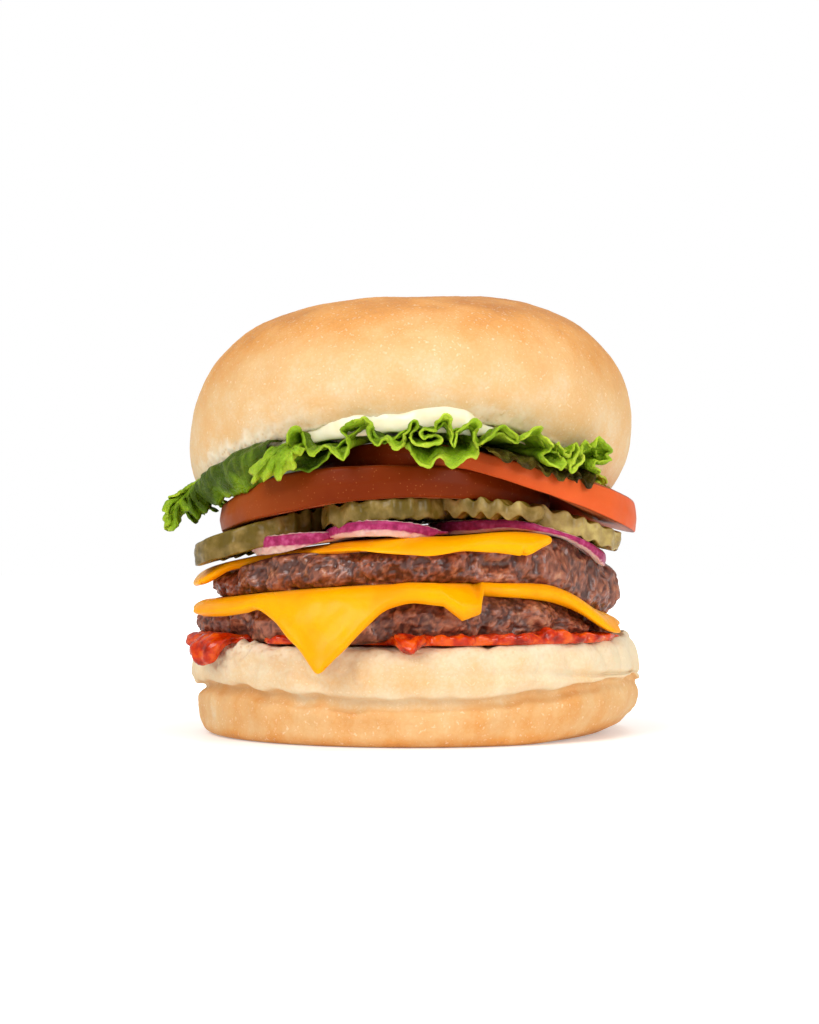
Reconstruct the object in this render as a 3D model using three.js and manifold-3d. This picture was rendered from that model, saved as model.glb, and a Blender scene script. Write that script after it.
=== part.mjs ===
// A double cheeseburger on a soft white bun: heel, ketchup, two patties each under a slice of cheese, red
// onion, crinkle-cut pickles, two tomato slices, leaf lettuce, mayonnaise and the crown of the bun.
//
// Millimetres, +Z up. The origin is the middle of the heel's flat underside, and -Y is the front.
// A bearing is an angle about +Z, in degrees: 0 at the front, 90 on the right (+X), -90 on the left.
// The stack is first laid out in level layers. Then settle() lets every layer above the heel sag towards
// the left and right, as a pile does that is highest along its middle.
import * as THREE from "three";
import { ImprovedNoise } from "three/addons/math/ImprovedNoise.js";
import { mergeVertices } from "three/addons/utils/BufferGeometryUtils.js";
import Module from "manifold-3d";

const wasm = await Module();
wasm.setup();

// ---- Driving dimensions -------------------------------------------------------------------------------

const GAP = 0.3; // clearance between pieces that touch

const heel = { baseRadius: 45.5, waistRadius: 48.6, bulgeRadius: 51.2, creaseHeight: 9.6, height: 21.2 };
const crown = { rimLevel: 69.4, rimRadius: 47.6, widestRadius: 50.9, top: 99.4, widestAt: 0.27, power: 2.6 };

const ketchupLayer = { bottom: heel.height + GAP, thickness: 1.2 };
const lowerPattyBottom = ketchupLayer.bottom + ketchupLayer.thickness + GAP;
const lowerPatty = { x: -1.6, y: 0, radius: 49.0, bottom: lowerPattyBottom, top: 31.9 };
const cheeseSlice = { thickness: 2.2, bend: 3.6 };
const lowerCheeseBottom = lowerPatty.top + GAP;
const upperPattyBottom = lowerCheeseBottom + cheeseSlice.thickness + GAP;
const upperPatty = { x: 0.3, y: 0, radius: 46.8, bottom: upperPattyBottom, top: 41.7 };
const upperCheeseBottom = upperPatty.top + GAP;
const onionLevel = upperCheeseBottom + cheeseSlice.thickness + GAP;
const onionThickness = 2.6;
const pickleLevel = onionLevel + onionThickness + GAP;
const pickleSlice = { waveHeight: 0.6, waveLength: 5.2 };
const lowerTomato = { x: -6.5, y: -9, radius: 37, bottom: 53.4, thickness: 5.8 };
const upperTomato = { x: 13.7, y: -8, radius: 36, bottom: 59.5, thickness: 5.3 };
const leafThickness = 0.7;
const leafLevel = upperTomato.bottom + upperTomato.thickness + GAP + leafThickness / 2;
const mayoThickness = 1.6;

// How far a layer sinks at its left and right edge, as a share of its height over the heel, per mm squared,
// and how steeply the layers between the lower patty and the tomatoes rise to the right, where the upper
// patty is thicker.
const SAG = 0.000112;
const TILT = 0.055;

// ---- Helpers ------------------------------------------------------------------------------------------

const perlin = new ImprovedNoise();
const radians = THREE.MathUtils.degToRad;
const { clamp, lerp, smoothstep } = THREE.MathUtils;
const bell = (value, middle, width) => Math.exp(-(((value - middle) / width) ** 2));
const bearingOf = (x, y) => THREE.MathUtils.radToDeg(Math.atan2(x, -y));
const turnFrom = (bearing, middle) => ((bearing - middle + 540) % 360) - 180;

// Smooth noise of about -1 to 1 with a feature size in millimetres.
const lumps = (p, size, seed = 0) => 1.6 * perlin.noise(p.x / size + seed, p.y / size + 3.7, p.z / size + 9.2);

// Moves each vertex of a geometry to where place(vertex) says.
function shape(geometry, place) {
  const position = geometry.getAttribute("position");
  const vertex = new THREE.Vector3();
  for (let i = 0; i < position.count; i++) {
    vertex.fromBufferAttribute(position, i);
    const moved = place(vertex.clone()) ?? vertex;
    position.setXYZ(i, moved.x, moved.y, moved.z);
  }
  return geometry;
}

// A round body about +Z from a profile of [radius, height] points that runs up from axis to axis.
function turned(profile, segments) {
  const points = profile.map(([radius, height]) => new THREE.Vector2(radius, height));
  return new THREE.LatheGeometry(points, segments).rotateX(Math.PI / 2);
}

// A thin sheet of columns by rows cells. place(u, v, side) says where a point lies: u and v run from 0 to 1
// over the sheet, and side is 0 on its lower face and 1 on its upper. Both faces are split along the same
// diagonals, so the sheet keeps its thickness where it is curled.
function sheet(columns, rows, place) {
  const points = [];
  const faces = [];
  const at = (i, j, side) => (i * (rows + 1) + j) * 2 + side;
  for (let i = 0; i <= columns; i++) {
    for (let j = 0; j <= rows; j++) {
      points.push(place(i / columns, j / rows, 0), place(i / columns, j / rows, 1));
    }
  }
  const quad = (a, b, c, d) => faces.push(a, b, c, a, c, d);
  for (let i = 0; i < columns; i++) {
    for (let j = 0; j < rows; j++) {
      quad(at(i, j, 1), at(i + 1, j, 1), at(i + 1, j + 1, 1), at(i, j + 1, 1));
      faces.push(at(i, j, 0), at(i + 1, j + 1, 0), at(i + 1, j, 0));
      faces.push(at(i, j, 0), at(i, j + 1, 0), at(i + 1, j + 1, 0));
    }
    quad(at(i, 0, 0), at(i + 1, 0, 0), at(i + 1, 0, 1), at(i, 0, 1));
    quad(at(i + 1, rows, 0), at(i, rows, 0), at(i, rows, 1), at(i + 1, rows, 1));
  }
  for (let j = 0; j < rows; j++) {
    quad(at(0, j + 1, 0), at(0, j, 0), at(0, j, 1), at(0, j + 1, 1));
    quad(at(columns, j, 0), at(columns, j + 1, 0), at(columns, j + 1, 1), at(columns, j, 1));
  }
  return new THREE.BufferGeometry().setFromPoints(points).setIndex(faces);
}

// How far from the axis the rim of a round slice lies at a bearing.
function rimReach({ x, y, radius }, bearing) {
  const along = x * Math.sin(radians(bearing)) - y * Math.cos(radians(bearing));
  return along + Math.sqrt(along * along - x * x - y * y + radius * radius);
}

// The height that a point at height z in the level stack comes to when the pile has settled.
function settledHeight(x, z) {
  if (z <= heel.height) return z;
  const started = lerp(smoothstep(z, 24, 38), smoothstep(z, 31, 41), smoothstep(x, -20, 20));
  const tilt = TILT * (0.68 * x + 0.32 * (Math.hypot(x, 10) - 10)) * started * (1 - smoothstep(z, 46, 59));
  const sink = 1.5 * smoothstep(x, 18, 48) * smoothstep(z, 23, 31) * (1 - smoothstep(z, 34, 41));
  return heel.height + (z - heel.height) * (1 - SAG * x * x) + tilt - sink;
}

const settle = (geometry) =>
  shape(geometry, (p) => p.setZ(settledHeight(p.x, p.z)));

function solidOf(geometry) {
  const bare = geometry.index ? geometry.toNonIndexed() : geometry.clone();
  bare.deleteAttribute("normal");
  bare.deleteAttribute("uv");
  const merged = mergeVertices(bare, 1e-4);
  return new wasm.Manifold(
    new wasm.Mesh({
      numProp: 3,
      vertProperties: merged.getAttribute("position").array,
      triVerts: new Uint32Array(merged.index.array),
    }),
  );
}

function geometryOf(solid) {
  const mesh = solid.getMesh();
  return new THREE.BufferGeometry()
    .setAttribute("position", new THREE.BufferAttribute(new Float32Array(mesh.vertProperties), 3))
    .setIndex(new THREE.BufferAttribute(new Uint32Array(mesh.triVerts), 1));
}

const burger = new THREE.Group();

function add(name, geometry, colour, roughness) {
  const mesh = new THREE.Mesh(geometry, new THREE.MeshStandardMaterial({ color: colour, roughness, metalness: 0 }));
  mesh.name = name;
  burger.add(mesh);
}

// ---- Bun ----------------------------------------------------------------------------------------------

// The heel: a flat golden base, a crease where the soft side has folded, and a pale bulge over it.
function heelBun() {
  const { baseRadius, waistRadius, bulgeRadius, creaseHeight, height } = heel;
  const profile = [
    [0, 0], [24, 0], [baseRadius - 2.5, 0],
    [baseRadius + 0.6, 1.3], [waistRadius - 0.8, 4.2], [waistRadius + 0.6, 7.4], [waistRadius - 0.6, creaseHeight],
    [bulgeRadius - 1, creaseHeight + 1.8], [bulgeRadius, 14.6], [bulgeRadius - 0.7, 18.2],
    [bulgeRadius - 2.6, 20.4], [bulgeRadius - 6.5, height], [24, height - 0.5], [0, height - 0.6],
  ];
  return shape(turned(profile, 38), (p) => {
    const bearing = bearingOf(p.x, p.y);
    const reach = Math.hypot(p.x, p.y);
    const side = smoothstep(reach, baseRadius - 4, baseRadius) * smoothstep(p.z, 0.5, 4);
    const fold = bell(p.z, creaseHeight, 3.4) * side;
    const near = (middle, width) => bell(turnFrom(bearing, middle), 0, width);
    const foldRise = 2 * near(-62, 24) - 0.5 * near(-8, 30) + 3.4 * near(64, 30);
    const swell = side * (0.7 * lumps(p, 17, 2) + 0.6 * smoothstep(p.x, 0, 50));
    const scale = (reach + swell) / Math.max(reach, 1e-6);
    const lip = 2.4 * near(98, 26) * smoothstep(p.z, 15, 20) * smoothstep(reach, 46, 48.5);
    return p.set(p.x * scale, p.y * scale, Math.min(p.z + fold * foldRise, height) + lip);
  });
}

// The level that the crown's cut face would have in the unsagged stack: the front is held a little open.
const crownUnderside = (x, y) => settledHeight(x, crown.rimLevel - 0.012 * (y + 48));

// The crown: each point of the outside is a share of the way up from the cut rim to the top of the dome.
function crownBun() {
  const { rimRadius, widestRadius, top, widestAt, power } = crown;
  const profile = [[0, 0], [14, 0], [27, 0], [39, 0], [rimRadius - 1.4, 0]];
  const sideShares = [0.03, 0.12, widestAt, 0.4, 0.52, 0.64, 0.75, 0.84, 0.91, 0.96, 0.988];
  for (const share of sideShares) {
    const over = Math.max(0, (share - widestAt) / (1 - widestAt));
    const under = Math.max(0, (widestAt - share) / widestAt);
    const radius = under > 0
      ? widestRadius - (widestRadius - rimRadius) * under ** 1.8
      : widestRadius * (1 - over ** power) ** (1 / power);
    profile.push([radius, share]);
  }
  profile.push([0, 1]);
  return shape(turned(profile, 36), (p) => {
    const share = p.z;
    const lean = lerp(-1.6, 2.4, share);
    const tuck = -1.2 * smoothstep(p.x, 20, 50) * (1 - smoothstep(share, 0, 0.5));
    const x = p.x + lean + tuck;
    const dent = 0.7 * lumps(new THREE.Vector3(x, p.y, share * 30), 24, 1) * smoothstep(share, 0.05, 0.3);
    return p.set(x, p.y, lerp(crownUnderside(x, p.y), top + dent, share));
  });
}

// ---- Patties ------------------------------------------------------------------------------------------

// A seared patty of coarse mince: its side is a rough rim of crags, and its faces are nearly level.
function pattyBody(patty, seed) {
  const { radius, bottom, top } = patty;
  const middle = (bottom + top) / 2;
  const half = (top - bottom) / 2;
  const profile = [
    [0, bottom], [17, bottom], [33, bottom], [radius - 2.2, bottom + 0.1],
    [radius - 0.7, middle - half * 0.66], [radius - 0.1, middle - half * 0.25],
    [radius, middle + half * 0.15], [radius - 1.2, middle + half * 0.56], [radius - 4.6, top - 0.1],
    [33, top], [17, top], [0, top],
  ];
  return shape(turned(profile, 48), (p) => {
    const reach = Math.hypot(p.x, p.y);
    const rough = smoothstep(reach, radius - 5, radius - 1.5);
    const crag = rough * (1.0 * lumps(p, 7.5, seed) + 0.7 * lumps(p, 4.1, seed + 11) - 0.5);
    const scale = (reach + clamp(crag, -2.2, 0.5)) / Math.max(reach, 1e-6);
    return p.set(p.x * scale + patty.x, p.y * scale + patty.y, p.z);
  });
}

// ---- Draped layers ------------------------------------------------------------------------------------

// Carries a point of a level layer over the edge of what it lies on: level as far as `edge` from the axis,
// round a bend of the given radius, and then straight down at the final slope. lift is its height in the layer.
function drape(x, y, lift, { level, edge, bend, slope }) {
  const reach = Math.hypot(x, y);
  const past = reach - edge;
  if (past <= 0) return new THREE.Vector3(x, y, level + lift);
  const turn = Math.min(past / bend, slope);
  const straight = past - turn * bend;
  const out = edge + (bend + lift) * Math.sin(turn) + straight * Math.cos(slope);
  const height = level - bend + (bend + lift) * Math.cos(turn) - straight * Math.sin(slope);
  return new THREE.Vector3((x / reach) * out, (y / reach) * out, height);
}

// A square cheese slice. A finer grid near its edges follows the drooping corners.
// At a bearing, melt is how far a softened edge has run outwards, and gather is how much of its overhang is
// left where it has slumped back onto the patty.
function cheeseSheet({ side: length, x, y, corner, patty, bottom, slopeAt, melt, gather }) {
  const cells = 14;
  const half = length / 2;
  const spread = (share) => Math.sign(share) * (1 - (1 - Math.abs(share)) ** 1.35);
  const facing = radians(corner - 45);
  return sheet(cells, cells, (u, v, side) => {
    const across = spread(2 * u - 1) * half;
    const along = spread(2 * v - 1) * half;
    let flatX = x + across * Math.cos(facing) - along * Math.sin(facing) - patty.x;
    let flatY = y + across * Math.sin(facing) + along * Math.cos(facing) - patty.y;
    const reach = Math.hypot(flatX, flatY);
    const bearing = bearingOf(flatX, flatY);
    const slump = Math.max(0, reach - patty.radius + 9) * (1 - gather(bearing));
    const run = smoothstep(reach, patty.radius - 16, patty.radius - 2) * melt(bearing) - slump;
    flatX *= 1 + run / Math.max(reach, 1);
    flatY *= 1 + run / Math.max(reach, 1);
    const thin = 1 - 0.25 * smoothstep(reach, patty.radius, patty.radius + 14);
    const draped = drape(flatX, flatY, side * cheeseSlice.thickness * thin, {
      level: bottom,
      edge: patty.radius - 0.9,
      bend: cheeseSlice.bend,
      slope: radians(slopeAt(bearing)),
    });
    return draped.add(new THREE.Vector3(patty.x, patty.y, 0));
  });
}

const lowerCheese = {
  side: 84, x: -8.1, y: -6.5, corner: -102.5, patty: lowerPatty, bottom: lowerCheeseBottom,
  // The front corner hangs clear of the heel, and the side corners lie closer.
  slopeAt: (bearing) => 66 + 4 * bell(turnFrom(bearing, 70), 0, 25),
  // Between the front and right corners the edge has melted and run out in two tongues.
  melt: (bearing) => 8.5 * bell(turnFrom(bearing, 13), 0, 6) + 6.0 * bell(turnFrom(bearing, 33), 0, 11)
    + 2.6 * bell(turnFrom(bearing, -55), 0, 14) + 1.5 * bell(turnFrom(bearing, 68), 0, 14),
  gather: (bearing) =>
    1 - 0.68 * bell(turnFrom(bearing, -98), 0, 36) - 0.3 * bell(turnFrom(bearing, 90), 0, 20),
};

const upperCheese = {
  side: 77, x: 0.6, y: 0.5, corner: -64.7, patty: upperPatty, bottom: upperCheeseBottom,
  // The front right corner stands out over the edge, and the others have drooped further.
  slopeAt: (bearing) => 50 - 26 * bell(turnFrom(bearing, 27), 0, 24) - 14 * bell(turnFrom(bearing, -66), 0, 30),
  melt: (bearing) => 3.6 * bell(turnFrom(bearing, -22), 0, 24),
  gather: () => 1,
};

// Ketchup between the heel and the lower patty. It shows at the front right, and runs over the rim elsewhere.
const ketchupRuns = [
  { bearing: -70, width: 13, reach: 11.0 },
  { bearing: -38, width: 7, reach: 3.4 },
  { bearing: 0, width: 5.5, reach: 6.6 },
  { bearing: 24, width: 13, reach: 3.2 },
  { bearing: 48, width: 14, reach: 3.6 },
  { bearing: 150, width: 12, reach: 6.5 },
  { bearing: -150, width: 9, reach: 4.5 },
];

function ketchupSpread() {
  const radius = 46.2;
  const free = 0.86; // the share of the radius that stays put under the runs
  const { bottom, thickness } = ketchupLayer;
  const profile = [
    [0, 0], [0.5, 0], [free, 0], [0.92, 0], [0.97, 0.06], [1, 0.5], [0.97, 0.94], [free, 1], [0.5, 1], [0, 1],
  ];
  return shape(turned(profile, 56), (p) => {
    const share = Math.hypot(p.x, p.y);
    const bearing = bearingOf(p.x, p.y);
    const run = ketchupRuns.reduce((sum, r) => sum + r.reach * bell(turnFrom(bearing, r.bearing), 0, r.width), 0);
    const reach = share * radius + (run * Math.max(0, share - free)) / (1 - free);
    const scale = reach / Math.max(share, 1e-6);
    const fat = thickness * (1 + 0.9 * smoothstep(reach, 49.5, 52));
    return drape(p.x * scale, p.y * scale, p.z * fat, { level: bottom, edge: 49.6, bend: 3.6, slope: radians(80) });
  });
}

// ---- Vegetables ---------------------------------------------------------------------------------------

// A flat round slice with a slightly rounded rim, a little out of round, leaning by small angles.
// sole(x, y) is how much deeper its underside lies there, where the slice was cut thicker.
function roundSlice(slice) {
  const { x, y, radius, bottom, thickness, rings, segments, bulge = 0, leanY = 0 } = slice;
  const { uneven = 0, seed = 0, sole = () => 0 } = slice;
  const soft = thickness * 0.14;
  const shares = rings.map((ring) => [ring * radius, 0]);
  const back = rings.map((ring) => [ring * radius, thickness]).reverse();
  const rim = [
    [radius - soft, 0], [radius + bulge, thickness * 0.3], [radius + bulge, thickness * 0.7], [radius - soft, thickness],
  ];
  const cut = shape(turned([...shares, ...rim, ...back], segments), (p) => {
    const angle = Math.atan2(p.y, p.x);
    const out = 1 + uneven * (Math.cos(2 * angle + seed) + 0.6 * Math.cos(3 * angle + 2 * seed));
    return p.set(p.x * out, p.y * out, p.z - sole(x + p.x, y + p.y) * (1 - p.z / thickness));
  });
  return cut.rotateY(radians(leanY)).translate(x, y, bottom);
}

// A crinkle-cut pickle: a corrugated slab cut round. ridges is the direction of its grooves.
function pickle({ x, y, radius, ridges, thickness = 2.6, leanY = 0, raise = 0 }) {
  const { waveHeight, waveLength } = pickleSlice;
  const perWave = 4;
  const columns = 2 * Math.ceil(((radius + 1) * perWave) / waveLength);
  const width = (columns * waveLength) / perWave;
  const slab = sheet(columns, 2, (u, v, side) => {
    const across = (u - 0.5) * width;
    const wave = waveHeight * Math.sin((2 * Math.PI * across) / waveLength + Math.PI / 4);
    return new THREE.Vector3(across, (v - 0.5) * (2 * radius + 2), wave + (side - 0.5) * thickness);
  });
  const cutter = new THREE.CylinderGeometry(radius, radius - 0.4, 4 * thickness + 4, 16).rotateX(Math.PI / 2);
  const round = geometryOf(solidOf(slab).intersect(solidOf(cutter)));
  return round
    .rotateZ(radians(ridges))
    .rotateY(radians(leanY))
    .translate(x, y, pickleLevel + thickness / 2 + waveHeight + raise);
}

// ---- Lettuce and mayonnaise ---------------------------------------------------------------------------

// A frilled leaf that lies on the upper tomato, under the mayonnaise, and comes out under the crown's rim.
// It runs from one bearing to another, and from `inner` to `outer` mm from the axis. Where the rim no longer
// covers it a frill can rise, and where the upper tomato no longer carries it a frill can fall.
function leaf({ from, to, inner, outer, frills, phase, rise, fall, droop }) {
  const rowShares = [0, 0.3, 0.6, 0.81, 0.91, 1];
  const middle = (across, out) => {
    const bearing = lerp(from, to, across);
    const ends = Math.sin(Math.PI * clamp(across, 0, 1)) ** 0.45;
    const reach = lerp(inner, lerp(outer - 6, outer, ends), out);
    const carried = rimReach(upperTomato, bearing) + 4;
    const lifted = smoothstep(reach, 49.4, 52.4);
    const fallen = smoothstep(reach, carried, Math.max(carried + 6, 50));
    const beat = 2 * Math.PI * frills * across + phase;
    const wave = 0.8 * Math.sin(beat + 0.8 * Math.sin(5 * across + phase)) + 0.35 * Math.sin(2.3 * beat);
    const swing = radians(bearing + 2.2 * lifted * Math.cos(beat));
    const sunk = rise * Math.max(0, wave) * lifted - (fall * Math.max(0, -wave) + droop(bearing)) * fallen;
    const past = reach - rimReach(lowerTomato, bearing);
    const floor = lowerTomato.bottom + lowerTomato.thickness + 1 - 12 * smoothstep(past, 1, 7);
    return new THREE.Vector3(reach * Math.sin(swing), -reach * Math.cos(swing), Math.max(leafLevel + sunk, floor));
  };
  const nudge = 0.01;
  return sheet(Math.round((to - from) / 3.8), rowShares.length - 1, (u, v, side) => {
    const out = rowShares[Math.round(v * (rowShares.length - 1))];
    const alongLeaf = middle(u + nudge, out).sub(middle(u - nudge, out));
    const outward = middle(u, out + nudge).sub(middle(u, out - nudge));
    const normal = alongLeaf.cross(outward).normalize();
    return middle(u, out).addScaledVector(normal, (side - 0.5) * leafThickness);
  });
}

// Mayonnaise on the cut face of the crown, squeezed out to a thick lip along the front.
function mayonnaiseSpread() {
  const profile = [[0, 0], [0.42, 0], [0.76, 0], [0.94, 0], [1, 0.5], [0.94, 1], [0.76, 1], [0.42, 1], [0, 1]];
  return shape(turned(profile, 32), (p) => {
    const share = Math.hypot(p.x, p.y);
    const bearing = bearingOf(p.x, p.y);
    const lip = bell(turnFrom(bearing, -8), 0, 34);
    const edge = 3.4 * lip + 0.5 * Math.sin(radians(7 * bearing));
    const reach = 45.2 + edge * smoothstep(share, 0.7, 1);
    const fat = mayoThickness + 1.3 * lip * smoothstep(share, 0.7, 0.95);
    const x = p.x * reach;
    const y = p.y * reach;
    return p.set(x, y, crownUnderside(x, y) - GAP - (1 - p.z) * fat);
  });
}

// ---- Assembly -----------------------------------------------------------------------------------------

add("bun_heel", heelBun(), "#eed7b0", 0.8);
add("ketchup", settle(ketchupSpread()), "#b3260b", 0.25);
add("patty_lower", settle(pattyBody(lowerPatty, 4)), "#5a3428", 0.6);
add("cheese_lower", settle(cheeseSheet(lowerCheese)), "#ffbf0a", 0.35);
add("patty_upper", settle(pattyBody(upperPatty, 8)), "#5a3428", 0.6);
add("cheese_upper", settle(cheeseSheet(upperCheese)), "#ffbf0a", 0.35);

const onionRings = [0, 0.6];
const onions = {
  onion_left: { x: -27.6, y: -21.6, radius: 12.2, bottom: onionLevel, uneven: 0.02, seed: 1 },
  onion_middle: { x: -4.6, y: -34, radius: 12.4, bottom: onionLevel + 0.7, leanY: 3, uneven: 0.02, seed: 2 },
  onion_right: { x: 24, y: -16, radius: 19.2, bottom: onionLevel + 0.8, leanY: 2, uneven: 0.015, seed: 4 },
  onion_back: { x: 0, y: 28, radius: 20, bottom: onionLevel, uneven: 0.02, seed: 5 },
};
for (const [name, place] of Object.entries(onions)) {
  const slice = roundSlice({ ...place, thickness: onionThickness, rings: onionRings, segments: 20, bulge: 0.3 });
  add(name, settle(slice), "#96356f", 0.35);
}

const pickles = {
  pickle_1: { x: -33, y: -19, radius: 15, thickness: 4, ridges: 60 },
  pickle_2: { x: -7, y: -33, radius: 13.5, ridges: 115, leanY: 3, raise: 0.8 },
  pickle_3: { x: 17.6, y: -30.5, radius: 11, ridges: 80, leanY: 2, raise: 1.1 },
  pickle_4: { x: 36.5, y: -12, radius: 14, thickness: 3.6, ridges: 140, leanY: 2, raise: 0.5 },
  pickle_5: { x: 33, y: 19, radius: 14, ridges: 20, raise: 1 },
  pickle_6: { x: 9, y: 35, radius: 13.5, ridges: 100 },
  pickle_7: { x: -19.5, y: 32, radius: 14, ridges: 50 },
  pickle_8: { x: -38.5, y: 9.5, radius: 12.6, ridges: 0 },
};
for (const [name, place] of Object.entries(pickles)) add(name, settle(pickle(place)), "#8a8438", 0.3);

const tomatoRings = [0, 0.4, 0.62, 0.84];
const tomatoes = {
  tomato_left: { ...lowerTomato, bulge: 0.9, seed: 3 },
  tomato_right: {
    ...upperTomato, bulge: 0.8, seed: 6,
    // Past the rim of the lower slice it comes down onto the pickles.
    sole: (x, y) => 5 * smoothstep(Math.hypot(x - lowerTomato.x, y - lowerTomato.y) - lowerTomato.radius, 4, 13),
  },
};
for (const [name, place] of Object.entries(tomatoes)) {
  const slice = roundSlice({ ...place, rings: tomatoRings, segments: 32, uneven: 0.008 });
  add(name, settle(slice), "#c8401e", 0.25);
}

const leaves = {
  lettuce_left: {
    from: -152, to: -50, inner: 12, outer: 56.5, frills: 8, phase: 0.4, rise: 3, fall: 3,
    droop: (bearing) => 1.5 + 5 * bell(bearing, -98, 30),
  },
  lettuce_front: {
    from: -47, to: 26, inner: 10, outer: 54.5, frills: 6, phase: 1.9, rise: 4.4, fall: 4.2, droop: () => 1,
  },
  lettuce_right: {
    from: 29, to: 78, inner: 14, outer: 53.5, frills: 4.5, phase: 0.2, rise: 4.2, fall: 3.5, droop: () => 0.6,
  },
  lettuce_back: {
    from: 94, to: 204, inner: 12, outer: 54, frills: 8, phase: 2.7, rise: 3.8, fall: 3.2, droop: () => 1.5,
  },
};
for (const [name, form] of Object.entries(leaves)) add(name, settle(leaf(form)), "#6f9b1f", 0.5);

add("mayonnaise", mayonnaiseSpread(), "#f6efd2", 0.35);
add("bun_crown", crownBun(), "#e6b674", 0.75);

export default burger;
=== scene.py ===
"""Looks for a double cheeseburger on a soft white bun.

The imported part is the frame. Every layer is built again here from the sizes the frame was built with, on a
much finer mesh that carries its crags, frills and beads, and stands in for its frame node.

Building code works in millimetres, and meshes are handed to Blender in metres. +Z is up and -Y is the front.
A bearing is an angle about +Z in degrees: 0 at the front, 90 on the right.
"""

from __future__ import annotations

import logging
import math
from collections.abc import Iterable
from dataclasses import dataclass, field
from enum import Enum
from typing import Any

import bmesh
import bpy
import numpy as np
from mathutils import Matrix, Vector

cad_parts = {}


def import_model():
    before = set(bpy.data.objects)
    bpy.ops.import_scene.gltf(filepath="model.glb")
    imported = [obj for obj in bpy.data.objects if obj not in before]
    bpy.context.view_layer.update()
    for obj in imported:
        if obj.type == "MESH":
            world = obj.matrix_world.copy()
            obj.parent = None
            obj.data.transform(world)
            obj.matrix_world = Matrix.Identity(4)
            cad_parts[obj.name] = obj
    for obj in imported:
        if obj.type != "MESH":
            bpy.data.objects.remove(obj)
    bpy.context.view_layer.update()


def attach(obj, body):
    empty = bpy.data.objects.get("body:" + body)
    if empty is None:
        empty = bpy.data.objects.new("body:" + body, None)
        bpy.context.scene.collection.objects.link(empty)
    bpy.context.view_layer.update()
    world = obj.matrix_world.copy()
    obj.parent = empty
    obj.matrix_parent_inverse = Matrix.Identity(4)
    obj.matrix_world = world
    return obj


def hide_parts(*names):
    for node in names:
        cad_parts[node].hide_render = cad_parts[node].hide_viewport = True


Array = np.ndarray
Tree = bpy.types.NodeTree
Socket = bpy.types.NodeSocket
Profile = list[tuple[float, float]]

log = logging.getLogger("cheeseburger")

MM = 0.001
GAP = 0.3  # clearance between layers that touch
HEEL_TOP = 21.2  # height of the heel, over which the filling is piled
SAG = 0.000112  # share of its height that a layer loses per mm squared off the middle
TILT = 0.055  # rise of the middle layers to the right
MM_PER_DEGREE = 0.92  # length of a degree of bearing at the margins of the leaves


# ---- Numbers ----


def srgb(colour: str) -> tuple[float, float, float, float]:
    """Turns an sRGB hex colour into the linear one that Blender works in.

    Args:
        colour: "#rrggbb".

    Returns:
        Linear red, green, blue and an alpha of 1.
    """
    channels = [int(colour[i : i + 2], 16) / 255 for i in (1, 3, 5)]
    linear = [c / 12.92 if c <= 0.04045 else ((c + 0.055) / 1.055) ** 2.4 for c in channels]
    return (linear[0], linear[1], linear[2], 1.0)


def smoothstep(x: Array | float, low: Array | float, high: Array | float) -> Array:
    """Rises smoothly from 0 at low to 1 at high."""
    t = np.clip((x - low) / (high - low), 0, 1)
    return t * t * (3 - 2 * t)


def bell(x: Array | float, width: float) -> Array:
    """A bump of height 1 at 0, of about the given half width."""
    return np.exp(-((x / width) ** 2))


def mix(a: Array | float, b: Array | float, share: Array | float) -> Array:
    """The value a share of the way from a to b."""
    return a + (b - a) * share


def bearing_of(x: Array, y: Array) -> Array:
    """The bearing of a point in degrees."""
    return np.degrees(np.arctan2(x, -y))


def turn_from(bearing: Array, middle: float) -> Array:
    """How far a bearing is from another, from -180 to 180."""
    return (bearing - middle + 540) % 360 - 180


def settled_height(x: Array, z: Array) -> Array:
    """The height a point of the level stack comes to when the pile has settled.

    Args:
        x: the point's place to the right.
        z: its height in the level stack.

    Returns:
        Its height in the finished pile.
    """
    lift = mix(smoothstep(z, 24, 38), smoothstep(z, 31, 41), smoothstep(x, -20, 20))
    lift = lift * (1 - smoothstep(z, 46, 59))
    rise = 0.68 * x + 0.32 * (np.hypot(x, 10) - 10)
    sink = 1.5 * smoothstep(x, 18, 48) * smoothstep(z, 23, 31) * (1 - smoothstep(z, 34, 41))
    slump = 4.2 * smoothstep(x, 27, 48) * smoothstep(z, 21.4, 33.5) * (1 - smoothstep(z, 35, 43))
    thick = 2.0 * smoothstep(x, 6, 24) * (1 - smoothstep(x, 29, 45))
    thick = thick * smoothstep(z, 35.5, 40.5) * (1 - smoothstep(z, 42.5, 47.5))
    settled = HEEL_TOP + (z - HEEL_TOP) * (1 - SAG * x * x) + TILT * rise * lift + thick - sink - slump
    return np.where(z <= HEEL_TOP, z, settled)


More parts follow.
